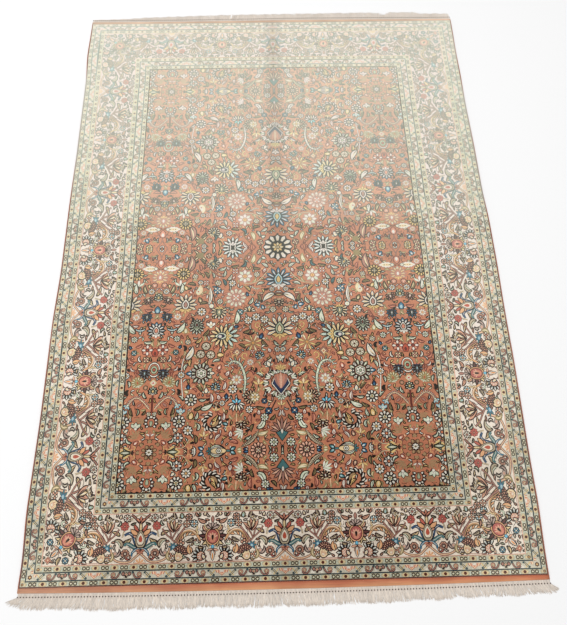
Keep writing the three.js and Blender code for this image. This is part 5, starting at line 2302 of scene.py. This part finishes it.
def fringe_yarns(end, table, seed):
    """Points, triangles and colours of all the free yarns of one end."""
    chance = np.random.default_rng(seed)
    count = LOCKS * YARNS_PER_LOCK
    lock = np.repeat(np.arange(LOCKS), YARNS_PER_LOCK)
    yarn = np.tile(np.arange(YARNS_PER_LOCK), LOCKS)
    lock_x = -FRINGE_SPAN / 2 + (lock + 0.5) * LOCK_PITCH
    spread = (yarn + 0.5) / YARNS_PER_LOCK - 0.5
    shuffled = (yarn * 3 % YARNS_PER_LOCK + 0.5) / YARNS_PER_LOCK
    root_x = lock_x + spread * LOCK_PITCH
    knot_x = lock_x + spread * LOCK_PITCH * KNOT_WIDTH
    length = np.interp(lock_x, table[:, 0], table[:, 1])
    lean = np.interp(lock_x, table[:, 0], table[:, 2])
    wander = 9 * np.sin(lock_x / 23 + seed) + 7 * np.sin(lock_x / 9.3 + 2 * seed)
    lean = np.radians(lean + wander + spread * 26 + chance.normal(0, 5, count))
    length = length * chance.uniform(0.87, 1.08, count) + 1.4 * np.sin(lock_x / 6.1)
    share = np.linspace(0, 1, 5)[None, :]
    swing = chance.normal(0, 0.07, count)[:, None] * length[:, None]
    free_x = knot_x[:, None] + np.sin(lean)[:, None] * length[:, None] * share ** 1.15
    free_x = free_x + swing * np.sin(2.6 * share)
    free_y = HEADING + np.cos(lean)[:, None] * length[:, None] * share
    x = np.concatenate([root_x[:, None], free_x], axis=1)
    start_y = kilim_edge(end, root_x) + end * 0.5
    y = start_y[:, None] + end * np.concatenate([np.zeros((count, 1)), free_y], axis=1)
    rise = np.ones_like(x)
    rise[:, 2:] = 0.65 + 0.8 * shuffled[:, None] + 0.15 * np.sin(9 * share[:, 1:] + lock[:, None])
    rise[:, -1] = 0.6
    along_x = np.gradient(x, axis=1)
    along_y = np.gradient(y, axis=1)
    size = np.hypot(along_x, along_y)
    wide = np.array([YARN_WIDE, YARN_TIED, YARN_WIDE, YARN_WIDE, YARN_WIDE, YARN_TIP])
    nx = -along_y / size * wide
    ny = along_x / size * wide
    ring = np.stack([
        np.stack([x - nx, y - ny, rise - YARN_HIGH], -1),
        np.stack([x + nx, y + ny, rise - YARN_HIGH], -1),
        np.stack([x, y, rise + YARN_HIGH], -1),
    ], axis=2)
    if end > 0:
        ring = ring[:, :, ::-1]
    points, faces = tubes(ring)
    # Each strand's tone differs at random; the lower strands are also darker, painted shade under the
    # upper ones
    shade = chance.uniform(0.87, 1.10, count) * (0.92 + 0.13 * shuffled)
    colours = np.repeat(yarn_tone("fringe") * shade[:, None], len(faces) // count, axis=0)
    return points, faces, colours


def fringe_heading(end):
    """The woven heading under the yarns, from the end band to just past the dark dots of painted gap
    shade.
    """
    across = np.linspace(-FRINGE_SPAN / 2, FRINGE_SPAN / 2, 60)
    inner = kilim_edge(end, across) + end * 0.4
    outer = inner + end * (HEADING + 1.4)
    corners = ((inner, 0.0), (inner, HEADING_HIGH), (outer, HEADING_HIGH), (outer, 0.0))
    strip = np.stack([np.stack([across, y, np.full_like(across, z)], -1) for y, z in corners], axis=1)
    if end < 0:
        strip = strip[:, ::-1]
    points, faces = tubes(strip[None])
    return points, faces, np.tile(yarn_tone("fringe"), (len(faces), 1))


def fringe_gap_shade(end):
    """Dark brown dots between the locks: painted shade of the gaps between their knots."""
    x = -FRINGE_SPAN / 2 + np.arange(LOCKS + 1) * LOCK_PITCH
    y = kilim_edge(end, x) + end * (HEADING + 0.4)
    turns = np.linspace(0, 2 * math.pi, 6, endpoint=False)
    rings = []
    for radius, z in GAP_SHADE_RINGS:
        ring_x = x[:, None] + radius * np.cos(turns)
        rings.append(np.stack([ring_x, y[:, None] + radius * np.sin(turns), np.full_like(ring_x, z)], -1))
    points, faces = tubes(np.stack(rings, axis=1))
    return points, faces, np.tile(yarn_tone("gap_shade"), (len(faces), 1))


def make_fringe(node, end, table, material, seed):
    """Knotted locks of warp yarn, lying on the floor, with a row of dark dots of painted shade at their
    heads.
    """
    points = np.zeros((0, 3))
    faces = []
    colours = []
    for more_points, more_faces, more_colours in (fringe_yarns(end, table, seed), fringe_heading(end),
                                                  fringe_gap_shade(end)):
        faces.append(more_faces + len(points))
        points = np.concatenate([points, more_points])
        colours.append(more_colours)
    points = (points + (SHIFT_X, SHIFT_Y, 0)) * MM
    piece = new_piece(f"{node}_locks", points, np.concatenate(faces), material)
    painted(piece, np.concatenate(colours))
    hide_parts(node)
    return piece


def slab(name, top, material):
    """Closed solid under a grid of points: rows x columns x 3, in metres."""
    rows, wide, _ = top.shape
    under = top.copy()
    under[:, :, 2] = 0.0
    points = np.concatenate([top.reshape(-1, 3), under.reshape(-1, 3)])
    count = rows * wide
    faces = grid_faces(rows, wide)
    faces = faces + [tuple(i + count for i in f[::-1]) for f in faces]
    rim = list(range(wide)) + [r * wide + wide - 1 for r in range(1, rows)]
    rim += [(rows - 1) * wide + c for c in range(wide - 2, -1, -1)]
    rim += [r * wide for r in range(rows - 2, 0, -1)]
    for i, a in enumerate(rim):
        b = rim[(i + 1) % len(rim)]
        faces.append((b, a, a + count, b + count))
    return new_piece(name, points, faces, material, smooth=True)


def make_kilim(node, end, material):
    """Flat-woven band of fine ribs at one end."""
    shares = np.linspace(0, 1, 2 * RIBS + 1)
    if end < 0:
        shares = shares[::-1]
    share, side = np.meshgrid(shares, np.linspace(-1, 1, 100), indexing="ij")
    inner = end * (HALF_LENGTH + SEAM)
    left = -(HALF_WIDTH + bow(end * HALF_LENGTH, -1))
    right = HALF_WIDTH + bow(end * HALF_LENGTH, 1)
    x = left + (right - left) * (side + 1) / 2
    y = inner + (kilim_edge(end, x) - inner) * share
    rib = np.where(np.arange(len(shares)) % 2 == 1, 0.0, -RIB_DEPTH)[:, None]
    z = KILIM_TOP - 0.1 + rib + 0.22 * np.sin(x * 0.021 + end) * share
    z = np.minimum(z + 0.12 * np.sin(x * 0.13 + 3 * share), KILIM_TOP + 0.3)
    top = np.stack([(x + SHIFT_X) * MM, (y + SHIFT_Y) * MM, z * MM], -1)
    piece = slab(f"{node}_weave", top, material)
    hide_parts(node)
    return piece


def make_cord(node, side, material):
    """Overcast cord along one side: yarn wrapped round and round the edge."""
    rings = int(2 * HALF_LENGTH / WRAP * 2)
    y = np.linspace(-HALF_LENGTH, HALF_LENGTH, rings)
    fat = np.where(np.arange(rings) % 2 == 0, 1.0, WRAP_WAIST)
    middle = edge_x(y, side, SIDE_CORD / 2)
    turns = np.linspace(0, 2 * math.pi, 8, endpoint=False)[::-1]
    x = middle[:, None] + fat[:, None] * SIDE_CORD / 2 * np.cos(turns)
    z = CORD_MIDDLE + fat[:, None] * CORD_HALF * np.sin(turns)
    ring = np.stack([x + SHIFT_X, np.repeat(y[:, None], 8, axis=1) + SHIFT_Y, z], -1) * MM
    points, faces = tubes(ring[None])
    piece = new_piece(f"{node}_wraps", points, faces, material, smooth=True)
    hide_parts(node)
    return piece


LENS = 36.48                # millimetres, on a sensor 36 wide
SENSOR = 36
EYE = (-0.0191, -0.9332, 1.6418)            # metres from the rug's middle
EYE_TURN = (23.7875, -0.4685, -1.4045)      # degrees
FLOOR_HALF = 6
FLOOR_PALE = (0.9, 0.9, 0.9, 1)
SKY_STRENGTH = 0.72
LAMP_SIZE = 4.5
LAMP_WATTS = 75
LAMP_PLACE = (-0.8, 0.5, 3.3)


def make_stage():
    """Pale floor, even studio light and the camera at the photo's angle."""
    floor = bpy.data.meshes.new("floor")
    corners = [(x * FLOOR_HALF, y * FLOOR_HALF, 0) for x, y in ((-1, -1), (1, -1), (1, 1), (-1, 1))]
    floor.from_pydata(corners, [], [(0, 1, 2, 3)])
    paint = Graph("floor", 0.7, 0.0)
    paint.shader.inputs["Base Color"].default_value = FLOOR_PALE
    floor.materials.append(paint.material)
    floor_piece = linked("floor", floor)

    world = bpy.data.worlds.new("studio")
    bpy.context.scene.world = world
    world.use_nodes = True
    sky = world.node_tree.nodes["Background"]
    sky.inputs["Color"].default_value = (1, 1, 1, 1)
    sky.inputs["Strength"].default_value = SKY_STRENGTH

    light = bpy.data.lights.new("window", "AREA")
    light.shape = "RECTANGLE"
    light.size = LAMP_SIZE
    light.size_y = LAMP_SIZE
    light.energy = LAMP_WATTS
    lamp = linked("window", light)
    lamp.location = LAMP_PLACE
    lamp.rotation_euler = (-lamp.location).to_track_quat("-Z", "Y").to_euler()

    camera = bpy.data.cameras.new("camera")
    camera.sensor_width = SENSOR
    camera.lens = LENS
    eye = linked("camera", camera)
    eye.location = (EYE[0] + SHIFT_X * MM, EYE[1] + SHIFT_Y * MM, EYE[2])
    eye.rotation_euler = [math.radians(a) for a in EYE_TURN]
    bpy.context.scene.camera = eye
    bpy.context.scene.view_settings.view_transform = "Standard"


def main():
    """Builds every piece, then the stage."""
    silk = silk_material()
    warp = yarn_material("ground_weave", TONES["warp"], 400, (1, 1, 1))
    kilim = kilim_material()
    cord = yarn_material("selvedge_cord", CORD_RED, 300, (1, 0.3, 1))
    yarn = fringe_material()
    others = [
        make_kilim("kilim_near", -1, kilim), make_kilim("kilim_far", 1, kilim),
        make_cord("selvedge_left", -1, cord), make_cord("selvedge_right", 1, cord),
        make_fringe("fringe_near", -1, NEAR_FRINGE, yarn, 1),
        make_fringe("fringe_far", 1, FAR_FRINGE, yarn, 2),
    ]
    pile = make_pile(silk)
    ground = make_ground(warp)
    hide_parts("rug_pile")
    make_stage()


main()
